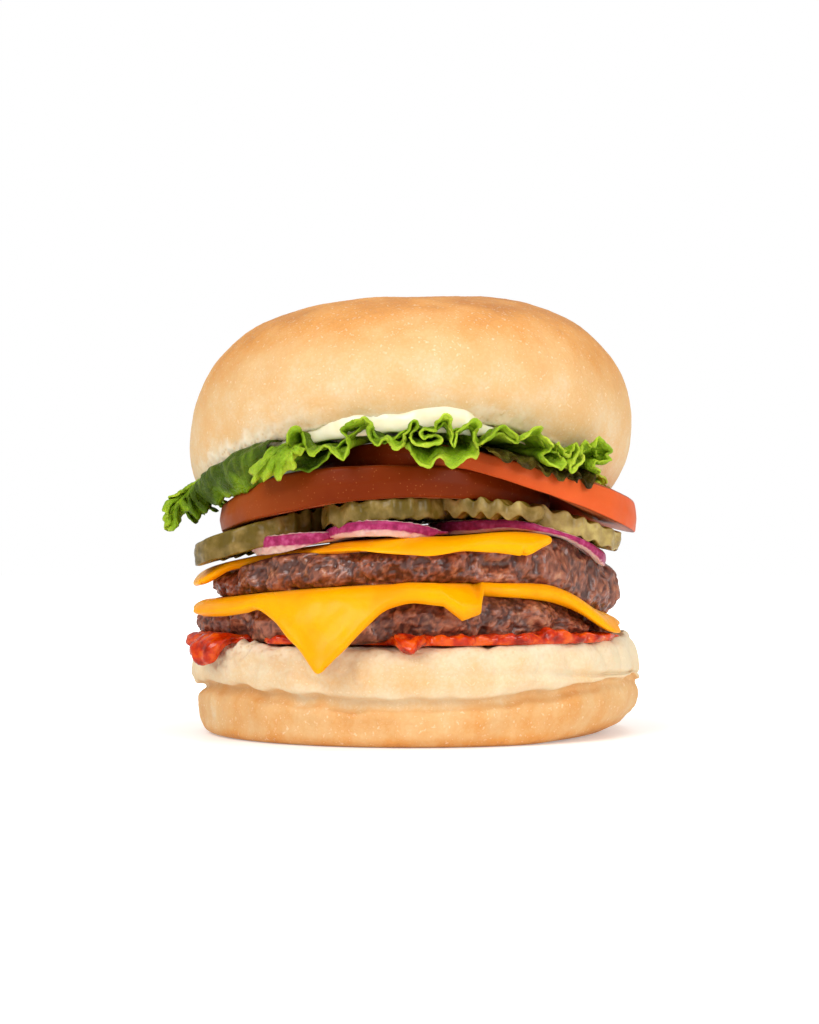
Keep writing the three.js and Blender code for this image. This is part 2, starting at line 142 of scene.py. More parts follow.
class Grain:
    """Repeatable three-dimensional noise on arrays of points."""

    def __init__(self, seed: int) -> None:
        """Shuffles the lattice.

        Args:
            seed: the same seed always gives the same noise.
        """
        source = np.random.RandomState(seed)
        self.order = np.tile(source.permutation(256), 3)
        directions = source.normal(size=(256, 3))
        self.slopes = directions / np.linalg.norm(directions, axis=1, keepdims=True)
        self.spots = source.random_sample((256, 3))

    def hashed(self, cell: Array) -> Array:
        """A number from 0 to 255 for each lattice cell."""
        i, j, k = (cell[..., n] & 255 for n in range(3))
        return self.order[self.order[self.order[i] + j] + k]

    def waves(self, points: Array, size: float, seed: float = 0.0) -> Array:
        """Smooth noise of about -1 to 1.

        Args:
            points: places in mm, with the coordinates last.
            size: feature size in mm.
            seed: shifts the pattern.

        Returns:
            One value a point.
        """
        p = points / size + seed * 17.3
        cell = np.floor(p).astype(int)
        part = p - cell
        ease = part**3 * (part * (part * 6 - 15) + 10)
        height = np.zeros(points.shape[:-1])
        for corner in np.ndindex(2, 2, 2):
            slope = self.slopes[self.hashed(cell + corner)]
            weight = np.prod(np.where(np.array(corner) == 1, ease, 1 - ease), axis=-1)
            height += weight * np.sum(slope * (part - corner), axis=-1)
        return 1.7 * height

    def rough(self, points: Array, size: float, octaves: int = 3, seed: float = 0.0) -> Array:
        """Several sizes of smooth noise, each half as large and as strong as the one before."""
        return sum(self.waves(points, size / 2**n, seed + n) / 2**n for n in range(octaves))

    def clumps(self, points: Array, size: float, seed: float = 0.0) -> tuple[Array, Array]:
        """Cells like packed grains.

        Args:
            points: places in mm, with the coordinates last.
            size: grain size in mm.
            seed: shifts the pattern.

        Returns:
            How deep inside its grain each point is, from 0 at the seams, and a random number for each grain.
        """
        p = points / size + seed * 11.9
        cell = np.floor(p).astype(int)
        nearest = np.full(points.shape[:-1], 9.0)
        second = nearest.copy()
        owner = np.zeros(points.shape[:-1])
        for offset in np.ndindex(3, 3, 3):
            here = cell + (np.array(offset) - 1)
            code = self.hashed(here)
            distance = np.linalg.norm(here + self.spots[code] - p, axis=-1)
            closer = distance < nearest
            second = np.where(closer, nearest, np.minimum(second, distance))
            owner = np.where(closer, code / 255, owner)
            nearest = np.where(closer, distance, nearest)
        return second - nearest, owner


GRAIN = Grain(11)


# ---- Surfaces ----


@dataclass
class Patch:
    """A grid of points with named values, one row after another. A closed patch goes all the way round."""

    points: Array
    values: dict[str, Array] = field(default_factory=dict)
    closed: bool = False

    def normals(self) -> Array:
        """Works out which way the surface faces.

        Returns:
            The outward direction at each point.
        """
        along = np.gradient(self.points, axis=1)
        if self.closed:
            ring = self.points[:, :-1]
            along = np.roll(ring, -1, 1) - np.roll(ring, 1, 1)
            along = np.concatenate([along, along[:, :1]], axis=1)
        normal = np.cross(along, np.gradient(self.points, axis=0))
        return normal / np.maximum(np.linalg.norm(normal, axis=-1, keepdims=True), 1e-9)

    def raised(self, height: Array) -> Patch:
        """The patch with each point moved outwards by a height."""
        return Patch(self.points + self.normals() * height[..., None], self.values, self.closed)

    def settled(self) -> Patch:
        """Lays the patch down as it rests in the settled pile.

        Returns:
            The settled patch.
        """
        points = self.points.copy()
        points[..., 2] = settled_height(points[..., 0], points[..., 2])
        return Patch(points, self.values, self.closed)

    def reversed(self) -> Patch:
        """The patch facing the other way."""
        values = {name: value[:, ::-1] for name, value in self.values.items()}
        return Patch(self.points[:, ::-1], values, self.closed)


def rounded(profile: Profile, cut: float) -> Array:
    """Rounds the corners of a profile.

    Args:
        profile: points of radius and height.
        cut: how far from a corner its rounding starts, in mm, where the sides are long enough.

    Returns:
        The rounded line.
    """
    corners = np.array(profile, float)
    share = np.linspace(0, 1, 7)[:, None]
    line = [corners[:1]]
    for before, corner, after in zip(corners[:-2], corners[1:-1], corners[2:]):
        ends = []
        for other in (before, after):
            length = np.linalg.norm(other - corner)
            ends.append(corner + (other - corner) * min(cut / length, 0.48))
        line.append((1 - share) ** 2 * ends[0] + 2 * share * (1 - share) * corner + share**2 * ends[1])
    return np.concatenate([*line, corners[-1:]])


def stations(profile: Array, fine: float, inner: float, coarse: float = 4.0) -> Array:
    """Spaces points along a profile, close together outside a radius and far apart inside it.

    Args:
        profile: points of radius and height.
        fine: spacing in mm outside the inner radius.
        inner: radius within which nothing shows.
        coarse: spacing there.

    Returns:
        The new points of radius and height.
    """
    steps = np.diff(profile, axis=0)
    middle = (profile[1:, 0] + profile[:-1, 0]) / 2
    count = np.hypot(steps[:, 0], steps[:, 1]) / np.where(middle > inner, fine, coarse)
    place = np.concatenate([[0], np.cumsum(count)])
    wanted = np.linspace(0, place[-1], math.ceil(place[-1]) + 1)
    return np.stack([np.interp(wanted, place, profile[:, n]) for n in range(2)], 1)


def turned(profile: Array, around: int) -> Patch:
    """Turns a profile about +Z.

    Args:
        profile: points of radius and height, from the axis below to the axis above.
        around: number of columns.

    Returns:
        A closed patch.
    """
    bearing = np.radians(np.linspace(-180, 180, around + 1))
    radius = np.maximum(profile[:, 0], 1e-6)[:, None]
    height = np.repeat(profile[:, 1][:, None], around + 1, axis=1)
    points = np.stack([radius * np.sin(bearing), -radius * np.cos(bearing), height], -1)
    points[:, -1] = points[:, 0]
    return Patch(points, closed=True)


def piece(name: str, patches: list[Patch], node: str, finish: Finish) -> bpy.types.Object:
    """Makes one piece of the burger from its patches and lets it stand for its frame node.

    Args:
        name: the piece's name.
        patches: surfaces that meet along their edges.
        node: the frame node it replaces.
        finish: what it is made of.

    Returns:
        The new object.
    """
    quads, first = [], 0
    for patch in patches:
        rows, columns = patch.points.shape[:2]
        index = first + np.arange(rows * columns).reshape(rows, columns)
        corners = [index[:-1, :-1], index[:-1, 1:], index[1:, 1:], index[1:, :-1]]
        quads.append(np.stack(corners, -1).reshape(-1, 4))
        first += rows * columns
    faces = np.concatenate(quads)
    mesh = bpy.data.meshes.new(name)
    mesh.vertices.add(first)
    mesh.vertices.foreach_set("co", (np.concatenate([p.points.reshape(-1, 3) for p in patches]) * MM).ravel())
    mesh.loops.add(faces.size)
    mesh.loops.foreach_set("vertex_index", faces.ravel())
    mesh.polygons.add(len(faces))
    mesh.polygons.foreach_set("loop_start", np.arange(0, faces.size, 4))
    mesh.update(calc_edges=True)
    for value in patches[0].values:
        attribute = mesh.attributes.new(value, "FLOAT", "POINT")
        attribute.data.foreach_set("value", np.concatenate([p.values[value].ravel() for p in patches]))
    work = bmesh.new()
    work.from_mesh(mesh)
    bmesh.ops.remove_doubles(work, verts=work.verts, dist=2e-6)
    work.to_mesh(mesh)
    work.free()
    mesh.shade_smooth()
    made = bpy.data.objects.new(name, mesh)
    bpy.context.scene.collection.objects.link(made)
    mesh.materials.append(finish.material())
    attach(made, "root")
    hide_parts(node)
    log.info("%s: %d faces for node %s", name, len(mesh.polygons), node)
    return made


class Layer:
    """A layer of the burger, which is one piece with one finish and stands for one frame node."""

    name: str
    node: str
    finish: Finish

    def shape(self) -> Patch:
        """Shapes a layer whose skin is one patch.

        Returns:
            The closed patch, in its place in the pile.
        """
        raise NotImplementedError

    def patches(self) -> list[Patch]:
        """The surfaces that close the layer."""
        return [self.shape()]

    def build(self) -> bpy.types.Object:
        """Makes the layer."""
        return piece(self.name, self.patches(), self.node, self.finish)


# ---- Finishes ----


def add(tree: Tree, kind: str, inputs: dict[Any, Any] | None = None, **settings: Any) -> bpy.types.Node:
    """Adds a shader node with its settings and links.

    Args:
        tree: the node tree.
        kind: the node's type, without "ShaderNode".
        inputs: values, hex colours or sockets for its inputs.
        settings: its other properties; stops=[(place, colour), ...] fills a colour ramp.

    Returns:
        The node.
    """
    node = tree.nodes.new("ShaderNode" + kind)
    stops = settings.pop("stops", None)
    for key, value in settings.items():
        setattr(node, key, value)
    if stops:
        ramp = node.color_ramp
        while len(ramp.elements) < len(stops):
            ramp.elements.new(1.0)
        for element, (place, colour) in zip(ramp.elements, stops):
            element.position = place
            element.color = srgb(colour)
    for key, value in (inputs or {}).items():
        socket = node.inputs[key]
        if isinstance(value, Socket):
            tree.links.new(value, socket)
        else:
            socket.default_value = srgb(value) if isinstance(value, str) else value
    return node


def per_mm(size: float) -> float:
    """The texture scale that gives features of a size in mm, on coordinates in metres."""
    return 1 / (size * MM)


@dataclass(frozen=True)
class Finish:
    """What a piece is made of. Each kind of finish draws its own nodes and is made into a material once."""

    name: str
    slot: str

    def material(self) -> bpy.types.Material:
        """Makes the finish's material at its first use.

        Returns:
            The material.
        """
        made = bpy.data.materials.get(self.name)
        if made:
            return made
        made = bpy.data.materials.new(self.name)
        made.use_nodes = True
        tree = made.node_tree
        tree.nodes.clear()
        surface = self.surface(tree, add(tree, "TexCoord").outputs["Object"])
        add(tree, "OutputMaterial", {"Surface": surface})
        return made

    def surface(self, tree: Tree, place: Socket) -> Socket:
        """Draws the surface.

        Args:
            tree: the material's node tree.
            place: object coordinates in metres.

        Returns:
            The shader's output.
        """
        raise NotImplementedError


@dataclass(frozen=True)
class Crust(Finish):
    """Baked bun skin, soft and dry: it scatters light like bread and shines faintly where it has browned.

    The mesh carries "bake", from pale to golden, and "crumb", 1 where the bread is cut or torn.
    """

    pale: str = "#e4d1ae"
    cream: str = "#dfb47c"
    golden: str = "#d8954a"
    deep: str = "#b06a25"
    mottle: float = 0.1
    sheen: float = 0.5

    def surface(self, tree: Tree, place: Socket) -> Socket:
        """Draws mottled crust with fine wrinkles, and open crumb on the cut faces."""
        bake = add(tree, "Attribute", attribute_name="bake").outputs["Fac"]
        crumb = add(tree, "Attribute", attribute_name="crumb").outputs["Fac"]
        blotches = add(tree, "TexNoise", {"Vector": place, "Scale": per_mm(8), "Detail": 4.0}).outputs["Fac"]
        specks = add(tree, "TexNoise", {"Vector": place, "Scale": per_mm(0.8), "Detail": 2.0}).outputs["Fac"]
        blotch = {"Value": blotches, "From Min": 0.3, "From Max": 0.7}
        blotch |= {"To Min": -self.mottle, "To Max": self.mottle}
        uneven = add(tree, "MapRange", blotch).outputs["Result"]
        speck = {"Value": specks, "From Min": 0.35, "From Max": 0.65, "To Min": -0.05, "To Max": 0.05}
        fine = add(tree, "MapRange", speck).outputs["Result"]
        both = add(tree, "Math", {0: uneven, 1: fine}, operation="ADD").outputs[0]
        baked = add(tree, "Math", {0: bake, 1: both}, operation="ADD").outputs[0]
        stops = [(0.08, self.pale), (0.38, self.cream), (0.7, self.golden), (1.0, self.deep)]
        skin = add(tree, "ValToRGB", {"Fac": baked}, stops=stops).outputs["Color"]
        flour = {"Value": specks, "From Min": 0.6, "From Max": 0.72, "To Min": 0.0, "To Max": 0.42}
        fleck = add(tree, "MapRange", flour).outputs["Result"]
        skin = add(tree, "Mix", {0: fleck, 6: skin, 7: "#f6e6c4"}, data_type="RGBA").outputs[2]
        pores = add(tree, "TexVoronoi", {"Vector": place, "Scale": per_mm(1.1)}).outputs["Distance"]
        inside = [(0.0, "#cfab7c"), (0.35, "#e8d6b6"), (1.0, "#f0e4cf")]
        bread = add(tree, "ValToRGB", {"Fac": pores}, stops=inside).outputs["Color"]
        colour = add(tree, "Mix", {0: crumb, 6: skin, 7: bread}, data_type="RGBA").outputs[2]
        folds = add(tree, "TexNoise", {"Vector": place, "Scale": per_mm(1.6), "Detail": 5.0}).outputs["Fac"]
        relief = add(tree, "Mix", {0: crumb, 2: folds, 3: pores}).outputs[0]
        bump = add(tree, "Bump", {"Height": relief, "Distance": 0.22 * MM, "Strength": 0.7}).outputs["Normal"]
        dull = {"Value": baked, "From Min": 0.2, "From Max": 1.0, "To Min": 0.72, "To Max": self.sheen}
        rough = add(tree, "MapRange", dull).outputs["Result"]
        shader = {
            "Base Color": colour,
            "Roughness": rough,
            "Normal": bump,
            "Specular IOR Level": 0.3,
            "Subsurface Weight": 0.2,
            "Subsurface Radius": (1.0, 0.6, 0.3),
            "Subsurface Scale": 1.6 * MM,
        }
        return add(tree, "BsdfPrincipled", shader).outputs[0]


@dataclass(frozen=True)
class SearedMince(Finish):
    """Seared ground beef: brown grains and char, with painted shade darkening the seams between the grains;
    it is wet with fat, so it glints in small spots.

    The mesh carries "depth", 0 in the seams and 1 on top of a grain, "grain", a number for each grain, and
    "char", 1 where it was seared hardest.
    """

    wetness: float = 0.3

    def surface(self, tree: Tree, place: Socket) -> Socket:
        """Draws grains of several browns, painted shade in the seams, char, and a broken wet gloss."""
        depth = add(tree, "Attribute", attribute_name="depth").outputs["Fac"]
        grain = add(tree, "Attribute", attribute_name="grain").outputs["Fac"]
        char = add(tree, "Attribute", attribute_name="char").outputs["Fac"]
        fat = add(tree, "TexNoise", {"Vector": place, "Scale": per_mm(2.4), "Detail": 5.0}).outputs["Fac"]
        shade = add(tree, "Mix", {0: 0.5, 2: grain, 3: fat}).outputs[0]
        browns = [(0.2, "#6a3424"), (0.42, "#8f5038"), (0.6, "#a66447"), (0.82, "#c8926e")]
        meat = add(tree, "ValToRGB", {"Fac": shade}, stops=browns).outputs["Color"]
        # painted shade: the seams between the grains and the clefts between the mounds are darkened towards
        # #2c1310
        shadow = {"Value": depth, "From Min": 0.1, "From Max": 0.55, "To Min": 0.75, "To Max": 0.0}
        seam = add(tree, "MapRange", shadow).outputs["Result"]
        seared = add(tree, "Mix", {0: seam, 6: meat, 7: "#2c1310"}, data_type="RGBA").outputs[2]
        burnt = add(tree, "TexNoise", {"Vector": place, "Scale": per_mm(4), "Detail": 6.0}).outputs["Fac"]
        patchy = {"Value": burnt, "From Min": 0.42, "From Max": 0.62, "To Min": 0.0, "To Max": 0.42}
        patch = add(tree, "MapRange", patchy).outputs["Result"]
        crust = add(tree, "Math", {0: patch, 1: char}, operation="MULTIPLY").outputs[0]
        colour = add(tree, "Mix", {0: crust, 6: seared, 7: "#3a1f18"}, data_type="RGBA").outputs[2]
        fibres = add(tree, "TexNoise", {"Vector": place, "Scale": per_mm(0.55), "Detail": 5.0}).outputs["Fac"]
        bump = add(tree, "Bump", {"Height": fibres, "Distance": 0.22 * MM, "Strength": 0.6}).outputs["Normal"]
        wetness = add(tree, "TexNoise", {"Vector": place, "Scale": per_mm(3.1), "Detail": 2.0}).outputs["Fac"]
        wet = {"Value": wetness, "From Min": 0.4, "From Max": 0.6, "To Min": 0.6, "To Max": 0.28}
        rough = add(tree, "MapRange", wet).outputs["Result"]
        shader = {
            "Base Color": colour,
            "Roughness": rough,
            "Normal": bump,
            "IOR": 1.42,
            "Specular IOR Level": 0.4,
            "Subsurface Weight": 0.12,
            "Subsurface Radius": (1.0, 0.35, 0.2),
            "Subsurface Scale": 1.0 * MM,
            "Coat Weight": self.wetness,
            "Coat Roughness": 0.16,
        }
        return add(tree, "BsdfPrincipled", shader).outputs[0]


@dataclass(frozen=True)
class MeltedCheese(Finish):
    """A processed cheese slice, softened: smooth and waxy, glowing where it is thin, glossy with oil."""

    def surface(self, tree: Tree, place: Socket) -> Socket:
        """Draws smooth yellow-orange cheese with faint clouds and a soft gloss."""
        clouds = add(tree, "TexNoise", {"Vector": place, "Scale": per_mm(11), "Detail": 3.0}).outputs["Fac"]
        yellows = [(0.35, "#fb9c00"), (0.65, "#ffab00")]
        colour = add(tree, "ValToRGB", {"Fac": clouds}, stops=yellows).outputs["Color"]
        dents = add(tree, "TexNoise", {"Vector": place, "Scale": per_mm(2.2), "Detail": 3.0}).outputs["Fac"]
        bump = add(tree, "Bump", {"Height": dents, "Distance": 0.12 * MM, "Strength": 0.5}).outputs["Normal"]
        oily = {"Value": clouds, "From Min": 0.4, "From Max": 0.6, "To Min": 0.38, "To Max": 0.26}
        rough = add(tree, "MapRange", oily).outputs["Result"]
        shader = {
            "Base Color": colour,
            "Roughness": rough,
            "Normal": bump,
            "IOR": 1.45,
            "Specular IOR Level": 0.14,
            "Subsurface Weight": 0.25,
            "Subsurface Radius": (1.0, 0.55, 0.08),
            "Subsurface Scale": 2.0 * MM,
        }
        return add(tree, "BsdfPrincipled", shader).outputs[0]


@dataclass(frozen=True)
class TomatoSauce(Finish):
    """Ketchup: a thick wet paste, deep red, mirror-glossy over fine pulp."""

    def surface(self, tree: Tree, place: Socket) -> Socket:
        """Draws wet red paste, lighter and darker in patches of pulp."""
        pulp = add(tree, "TexNoise", {"Vector": place, "Scale": per_mm(2.6), "Detail": 5.0}).outputs["Fac"]
        reds = [(0.34, "#8e1800"), (0.48, "#c22e02"), (0.64, "#e25a10")]
        colour = add(tree, "ValToRGB", {"Fac": pulp}, stops=reds).outputs["Color"]
        bump = add(tree, "Bump", {"Height": pulp, "Distance": 0.2 * MM, "Strength": 0.6}).outputs["Normal"]
        shader = {
            "Base Color": colour,
            "Roughness": 0.16,
            "Normal": bump,
            "IOR": 1.4,
            "Specular IOR Level": 0.25,
            "Subsurface Weight": 0.3,
            "Subsurface Radius": (1.0, 0.2, 0.08),
            "Subsurface Scale": 1.4 * MM,
            "Coat Weight": 0.3,
            "Coat Roughness": 0.06,
        }
        return add(tree, "BsdfPrincipled", shader).outputs[0]


@dataclass(frozen=True)
class RedOnion(Finish):
    """Raw red onion: crisp and wet, with purple skin round pale rings that light passes through.

    The mesh carries "inset", the distance in mm from the rim, and "wall", 1 on the rim itself.
    """

    def surface(self, tree: Tree, place: Socket) -> Socket:
        """Draws a streaked purple wall and pale rings edged with purple."""
        inset = add(tree, "Attribute", attribute_name="inset").outputs["Fac"]
        wall = add(tree, "Attribute", attribute_name="wall").outputs["Fac"]
        ragged = add(tree, "TexNoise", {"Vector": place, "Scale": per_mm(2.0), "Detail": 3.0}).outputs["Fac"]
        fringe = add(tree, "Math", {0: ragged, 1: 1.6}, operation="MULTIPLY").outputs[0]
        depth = add(tree, "Math", {0: inset, 1: fringe}, operation="ADD").outputs[0]
        rings = add(tree, "Math", {0: depth, 1: 3.0}, operation="MODULO").outputs[0]
        ring = add(tree, "Math", {0: rings, 1: 3.0}, operation="DIVIDE").outputs[0]
        flesh = [(0.0, "#8e2a54"), (0.2, "#b8647e"), (0.38, "#dfb4ae"), (0.85, "#e8d0c4"), (1.0, "#a04a68")]
        face = add(tree, "ValToRGB", {"Fac": ring}, stops=flesh).outputs["Color"]
        streak = add(tree, "TexNoise", {"Vector": place, "Scale": per_mm(1.3), "Detail": 3.0}).outputs["Fac"]
        purples = [(0.3, "#84204a"), (0.5, "#a22c5c"), (0.72, "#bc5080")]
        skin = add(tree, "ValToRGB", {"Fac": streak}, stops=purples).outputs["Color"]
        colour = add(tree, "Mix", {0: wall, 6: face, 7: skin}, data_type="RGBA").outputs[2]
        bump = add(tree, "Bump", {"Height": streak, "Distance": 0.15 * MM, "Strength": 0.5}).outputs["Normal"]
        shader = {
            "Base Color": colour,
            "Roughness": 0.28,
            "Normal": bump,
            "IOR": 1.36,
            "Specular IOR Level": 0.2,
            "Subsurface Weight": 0.4,
            "Subsurface Radius": (1.0, 0.5, 0.7),
            "Subsurface Scale": 1.5 * MM,
        }
        return add(tree, "BsdfPrincipled", shader).outputs[0]


@dataclass(frozen=True)
class PickledCucumber(Finish):
    """Pickled cucumber: limp, wet and olive, clear enough to glow at thin places, with a darker skin.

    The mesh carries "inset", the distance in mm from the rim, and "wall", 1 on the rim itself.
    """

    # bright: painted light and shade; above 0 the olives are drawn lighter for a slice in the light, below 0
    # darker for one in shade
    bright: float = 0.0

    def surface(self, tree: Tree, place: Socket) -> Socket:
        """Draws olive flesh with a paler core, a dull skin and a wet gloss."""
        inset = add(tree, "Attribute", attribute_name="inset").outputs["Fac"]
        wall = add(tree, "Attribute", attribute_name="wall").outputs["Fac"]
        cloudy = add(tree, "TexNoise", {"Vector": place, "Scale": per_mm(3.4), "Detail": 4.0}).outputs["Fac"]
        lit = 0.16 * self.bright
        places = [0.3 - lit, 0.5 - lit, 0.7 - lit, 0.9 - lit]
        olives = list(zip(places, ("#74661c", "#94832b", "#b3a044", "#d0c06a")))
        flesh = add(tree, "ValToRGB", {"Fac": cloudy}, stops=olives).outputs["Color"]
        rind = {"Value": inset, "From Min": 0.4, "From Max": 2.4, "To Min": 0.75, "To Max": 0.0}
        edge = add(tree, "MapRange", rind).outputs["Result"]
        cut = add(tree, "Mix", {0: edge, 6: flesh, 7: "#75661b"}, data_type="RGBA").outputs[2]
        greens = list(zip(places, ("#64521a", "#87703a", "#ab9358", "#cbb870")))
        skin = add(tree, "ValToRGB", {"Fac": cloudy}, stops=greens).outputs["Color"]
        colour = add(tree, "Mix", {0: wall, 6: cut, 7: skin}, data_type="RGBA").outputs[2]
        warts = add(tree, "TexNoise", {"Vector": place, "Scale": per_mm(1.0), "Detail": 3.0}).outputs["Fac"]
        bump = add(tree, "Bump", {"Height": warts, "Distance": 0.16 * MM, "Strength": 0.6}).outputs["Normal"]
        shader = {
            "Base Color": colour,
            "Roughness": 0.26,
            "Normal": bump,
            "IOR": 1.38,
            "Specular IOR Level": 0.18,
            "Subsurface Weight": 0.35,
            "Subsurface Radius": (0.8, 0.8, 0.25),
            "Subsurface Scale": 1.5 * MM,
            "Coat Weight": 0.15,
            "Coat Roughness": 0.12,
        }
        return add(tree, "BsdfPrincipled", shader).outputs[0]


@dataclass(frozen=True)
class RipeTomato(Finish):
    """Sliced, fully ripened tomato: taut, glossy skin with fine pale specks, and wet flesh on the cut faces.

    The mesh carries "inset", the distance in mm from the rim, and "wall", 1 on the rim itself. The skin
    carries
    painted light and shade: darker towards "shaded_at" and lighter towards "sunny_at" across the slice.
    """

    deep: str = "#7e2a08"
    light: str = "#e0602c"
    shaded_at: float = -8.0
    sunny_at: float = 34.0

    def surface(self, tree: Tree, place: Socket) -> Socket:
        """Draws speckled skin, and flesh with a paler band under it."""
        inset = add(tree, "Attribute", attribute_name="inset").outputs["Fac"]
        wall = add(tree, "Attribute", attribute_name="wall").outputs["Fac"]
        ripeness = add(tree, "TexNoise", {"Vector": place, "Scale": per_mm(9), "Detail": 2.0}).outputs["Fac"]
        # painted light and shade: across the slice the skin runs from "deep" on the shaded side to "light" on
        # the lit side, with a quarter of random ripeness mixed in
        across = add(tree, "SeparateXYZ", {0: place}).outputs["X"]
        side = {"Value": across, "From Min": self.shaded_at * MM, "From Max": self.sunny_at * MM}
        sunny = add(tree, "MapRange", side).outputs["Result"]
        ripe = add(tree, "Mix", {0: 0.25, 2: sunny, 3: ripeness}).outputs[0]
        reds = [(0.1, self.deep), (0.88, self.light)]
        skin = add(tree, "ValToRGB", {"Fac": ripe}, stops=reds).outputs["Color"]
        specks = add(tree, "TexVoronoi", {"Vector": place, "Scale": per_mm(0.9)}).outputs["Distance"]
        dotted = {"Value": specks, "From Min": 0.08, "From Max": 0.2, "To Min": 0.2, "To Max": 0.0}
        dots = add(tree, "MapRange", dotted).outputs["Result"]
        speckled = add(tree, "Mix", {0: dots, 6: skin, 7: "#e08a50"}, data_type="RGBA").outputs[2]
        band = [(0.0, self.deep), (0.2, "#d9794e"), (0.5, "#c94e26"), (1.0, "#b83e1c")]
        depth = add(tree, "Math", {0: inset, 1: 12.0}, operation="DIVIDE").outputs[0]
        flesh = add(tree, "ValToRGB", {"Fac": depth}, stops=band).outputs["Color"]
        colour = add(tree, "Mix", {0: wall, 6: flesh, 7: speckled}, data_type="RGBA").outputs[2]
        soft = add(tree, "TexNoise", {"Vector": place, "Scale": per_mm(3.0), "Detail": 2.0}).outputs["Fac"]
        bump = add(tree, "Bump", {"Height": soft, "Distance": 0.12 * MM, "Strength": 0.4}).outputs["Normal"]
        shader = {
            "Base Color": colour,
            "Roughness": 0.34,
            "Normal": bump,
            "IOR": 1.38,
            "Specular IOR Level": 0.1,
            "Subsurface Weight": 0.25,
            "Subsurface Radius": (1.0, 0.25, 0.1),
            "Subsurface Scale": 2.0 * MM,
        }
        return add(tree, "BsdfPrincipled", shader).outputs[0]


@dataclass(frozen=True)
class LeafLettuce(Finish):
    """Fresh leaf lettuce: thin and crisp, waxy, pale along its ribs, and green with painted shade in its
    frills.

    The mesh carries "margin", from 0 at the stem to 1 at the frilled edge, "rib", 1 on a rib, "deep", from 0
    to 1, painted shade for a darker green where a flap lies in shadow, and "bronze", 1 on a leaf that has
    turned brown.
    """

    def surface(self, tree: Tree, place: Socket) -> Socket:
        """Draws leaf green between paler ribs, with a fine network of veins."""
        margin = add(tree, "Attribute", attribute_name="margin").outputs["Fac"]
        rib = add(tree, "Attribute", attribute_name="rib").outputs["Fac"]
        bronze = add(tree, "Attribute", attribute_name="bronze").outputs["Fac"]
        patches = add(tree, "TexNoise", {"Vector": place, "Scale": per_mm(6), "Detail": 4.0}).outputs["Fac"]
        deep = add(tree, "Attribute", attribute_name="deep").outputs["Fac"]
        # painted light and shade: the green is drawn lighter at the thin margin, as if lit through it, and
        # darker inside it, in random patches and by "deep", as shade in the folds and on flaps in shadow
        thin = {"Value": margin, "From Min": 0.78, "From Max": 1.0, "To Min": 0.34, "To Max": 0.0}
        thick = add(tree, "MapRange", thin).outputs["Result"]
        patchy = {"Value": patches, "From Min": 0.35, "From Max": 0.65, "To Min": 0.06, "To Max": 0.5}
        patch = add(tree, "MapRange", patchy).outputs["Result"]
        inner = add(tree, "Math", {0: patch, 1: thick}, operation="ADD").outputs[0]
        shade = add(tree, "Math", {0: inner, 1: deep}, operation="ADD").outputs[0]
        greens = [(0.05, "#bfce44"), (0.3, "#a8bf30"), (0.55, "#86a61c"), (0.8, "#5c790e"), (1.0, "#3e5206")]
        fresh = add(tree, "ValToRGB", {"Fac": shade}, stops=greens).outputs["Color"]
        bronzes = [(0.35, "#2c2208"), (0.55, "#4a3a10"), (0.75, "#6e6420")]
        bronzed = add(tree, "ValToRGB", {"Fac": patches}, stops=bronzes).outputs["Color"]
        blade = add(tree, "Mix", {0: bronze, 6: fresh, 7: bronzed}, data_type="RGBA").outputs[2]
        veined = add(tree, "Math", {0: rib, 1: 0.12}, operation="MULTIPLY").outputs[0]
        colour = add(tree, "Mix", {0: veined, 6: blade, 7: "#c8d45e"}, data_type="RGBA").outputs[2]
        veins = add(tree, "TexVoronoi", {"Vector": place, "Scale": per_mm(1.3)}, feature="DISTANCE_TO_EDGE")
        net = {"Value": veins.outputs["Distance"], "From Min": 0.0, "From Max": 0.16}
        cells = add(tree, "MapRange", net).outputs["Result"]
        bump = add(tree, "Bump", {"Height": cells, "Distance": 0.18 * MM, "Strength": 0.6}).outputs["Normal"]
        shader = {
            "Base Color": colour,
            "Roughness": 0.4,
            "Normal": bump,
            "IOR": 1.42,
            "Specular IOR Level": 0.16,
            "Subsurface Weight": 0.4,
            "Subsurface Radius": (0.6, 1.0, 0.15),
            "Subsurface Scale": 0.8 * MM,
        }
        return add(tree, "BsdfPrincipled", shader).outputs[0]


@dataclass(frozen=True)
class Mayonnaise(Finish):
    """Mayonnaise: a thick cream emulsion, smooth and glossy, with light scattered all through it."""

    def surface(self, tree: Tree, place: Socket) -> Socket:
        """Draws glossy cream with faint yellow clouds."""
        clouds = add(tree, "TexNoise", {"Vector": place, "Scale": per_mm(5), "Detail": 3.0}).outputs["Fac"]
        creams = [(0.35, "#f4e6bf"), (0.65, "#faf1d4")]
        colour = add(tree, "ValToRGB", {"Fac": clouds}, stops=creams).outputs["Color"]
        swirls = add(tree, "TexNoise", {"Vector": place, "Scale": per_mm(1.8), "Detail": 2.0}).outputs["Fac"]
        bump = add(tree, "Bump", {"Height": swirls, "Distance": 0.15 * MM, "Strength": 0.4}).outputs["Normal"]
        shader = {
            "Base Color": colour,
            "Roughness": 0.2,
            "Normal": bump,
            "IOR": 1.42,
            "Subsurface Weight": 0.4,
            "Subsurface Radius": (1.0, 0.8, 0.5),
            "Subsurface Scale": 1.6 * MM,
        }
        return add(tree, "BsdfPrincipled", shader).outputs[0]


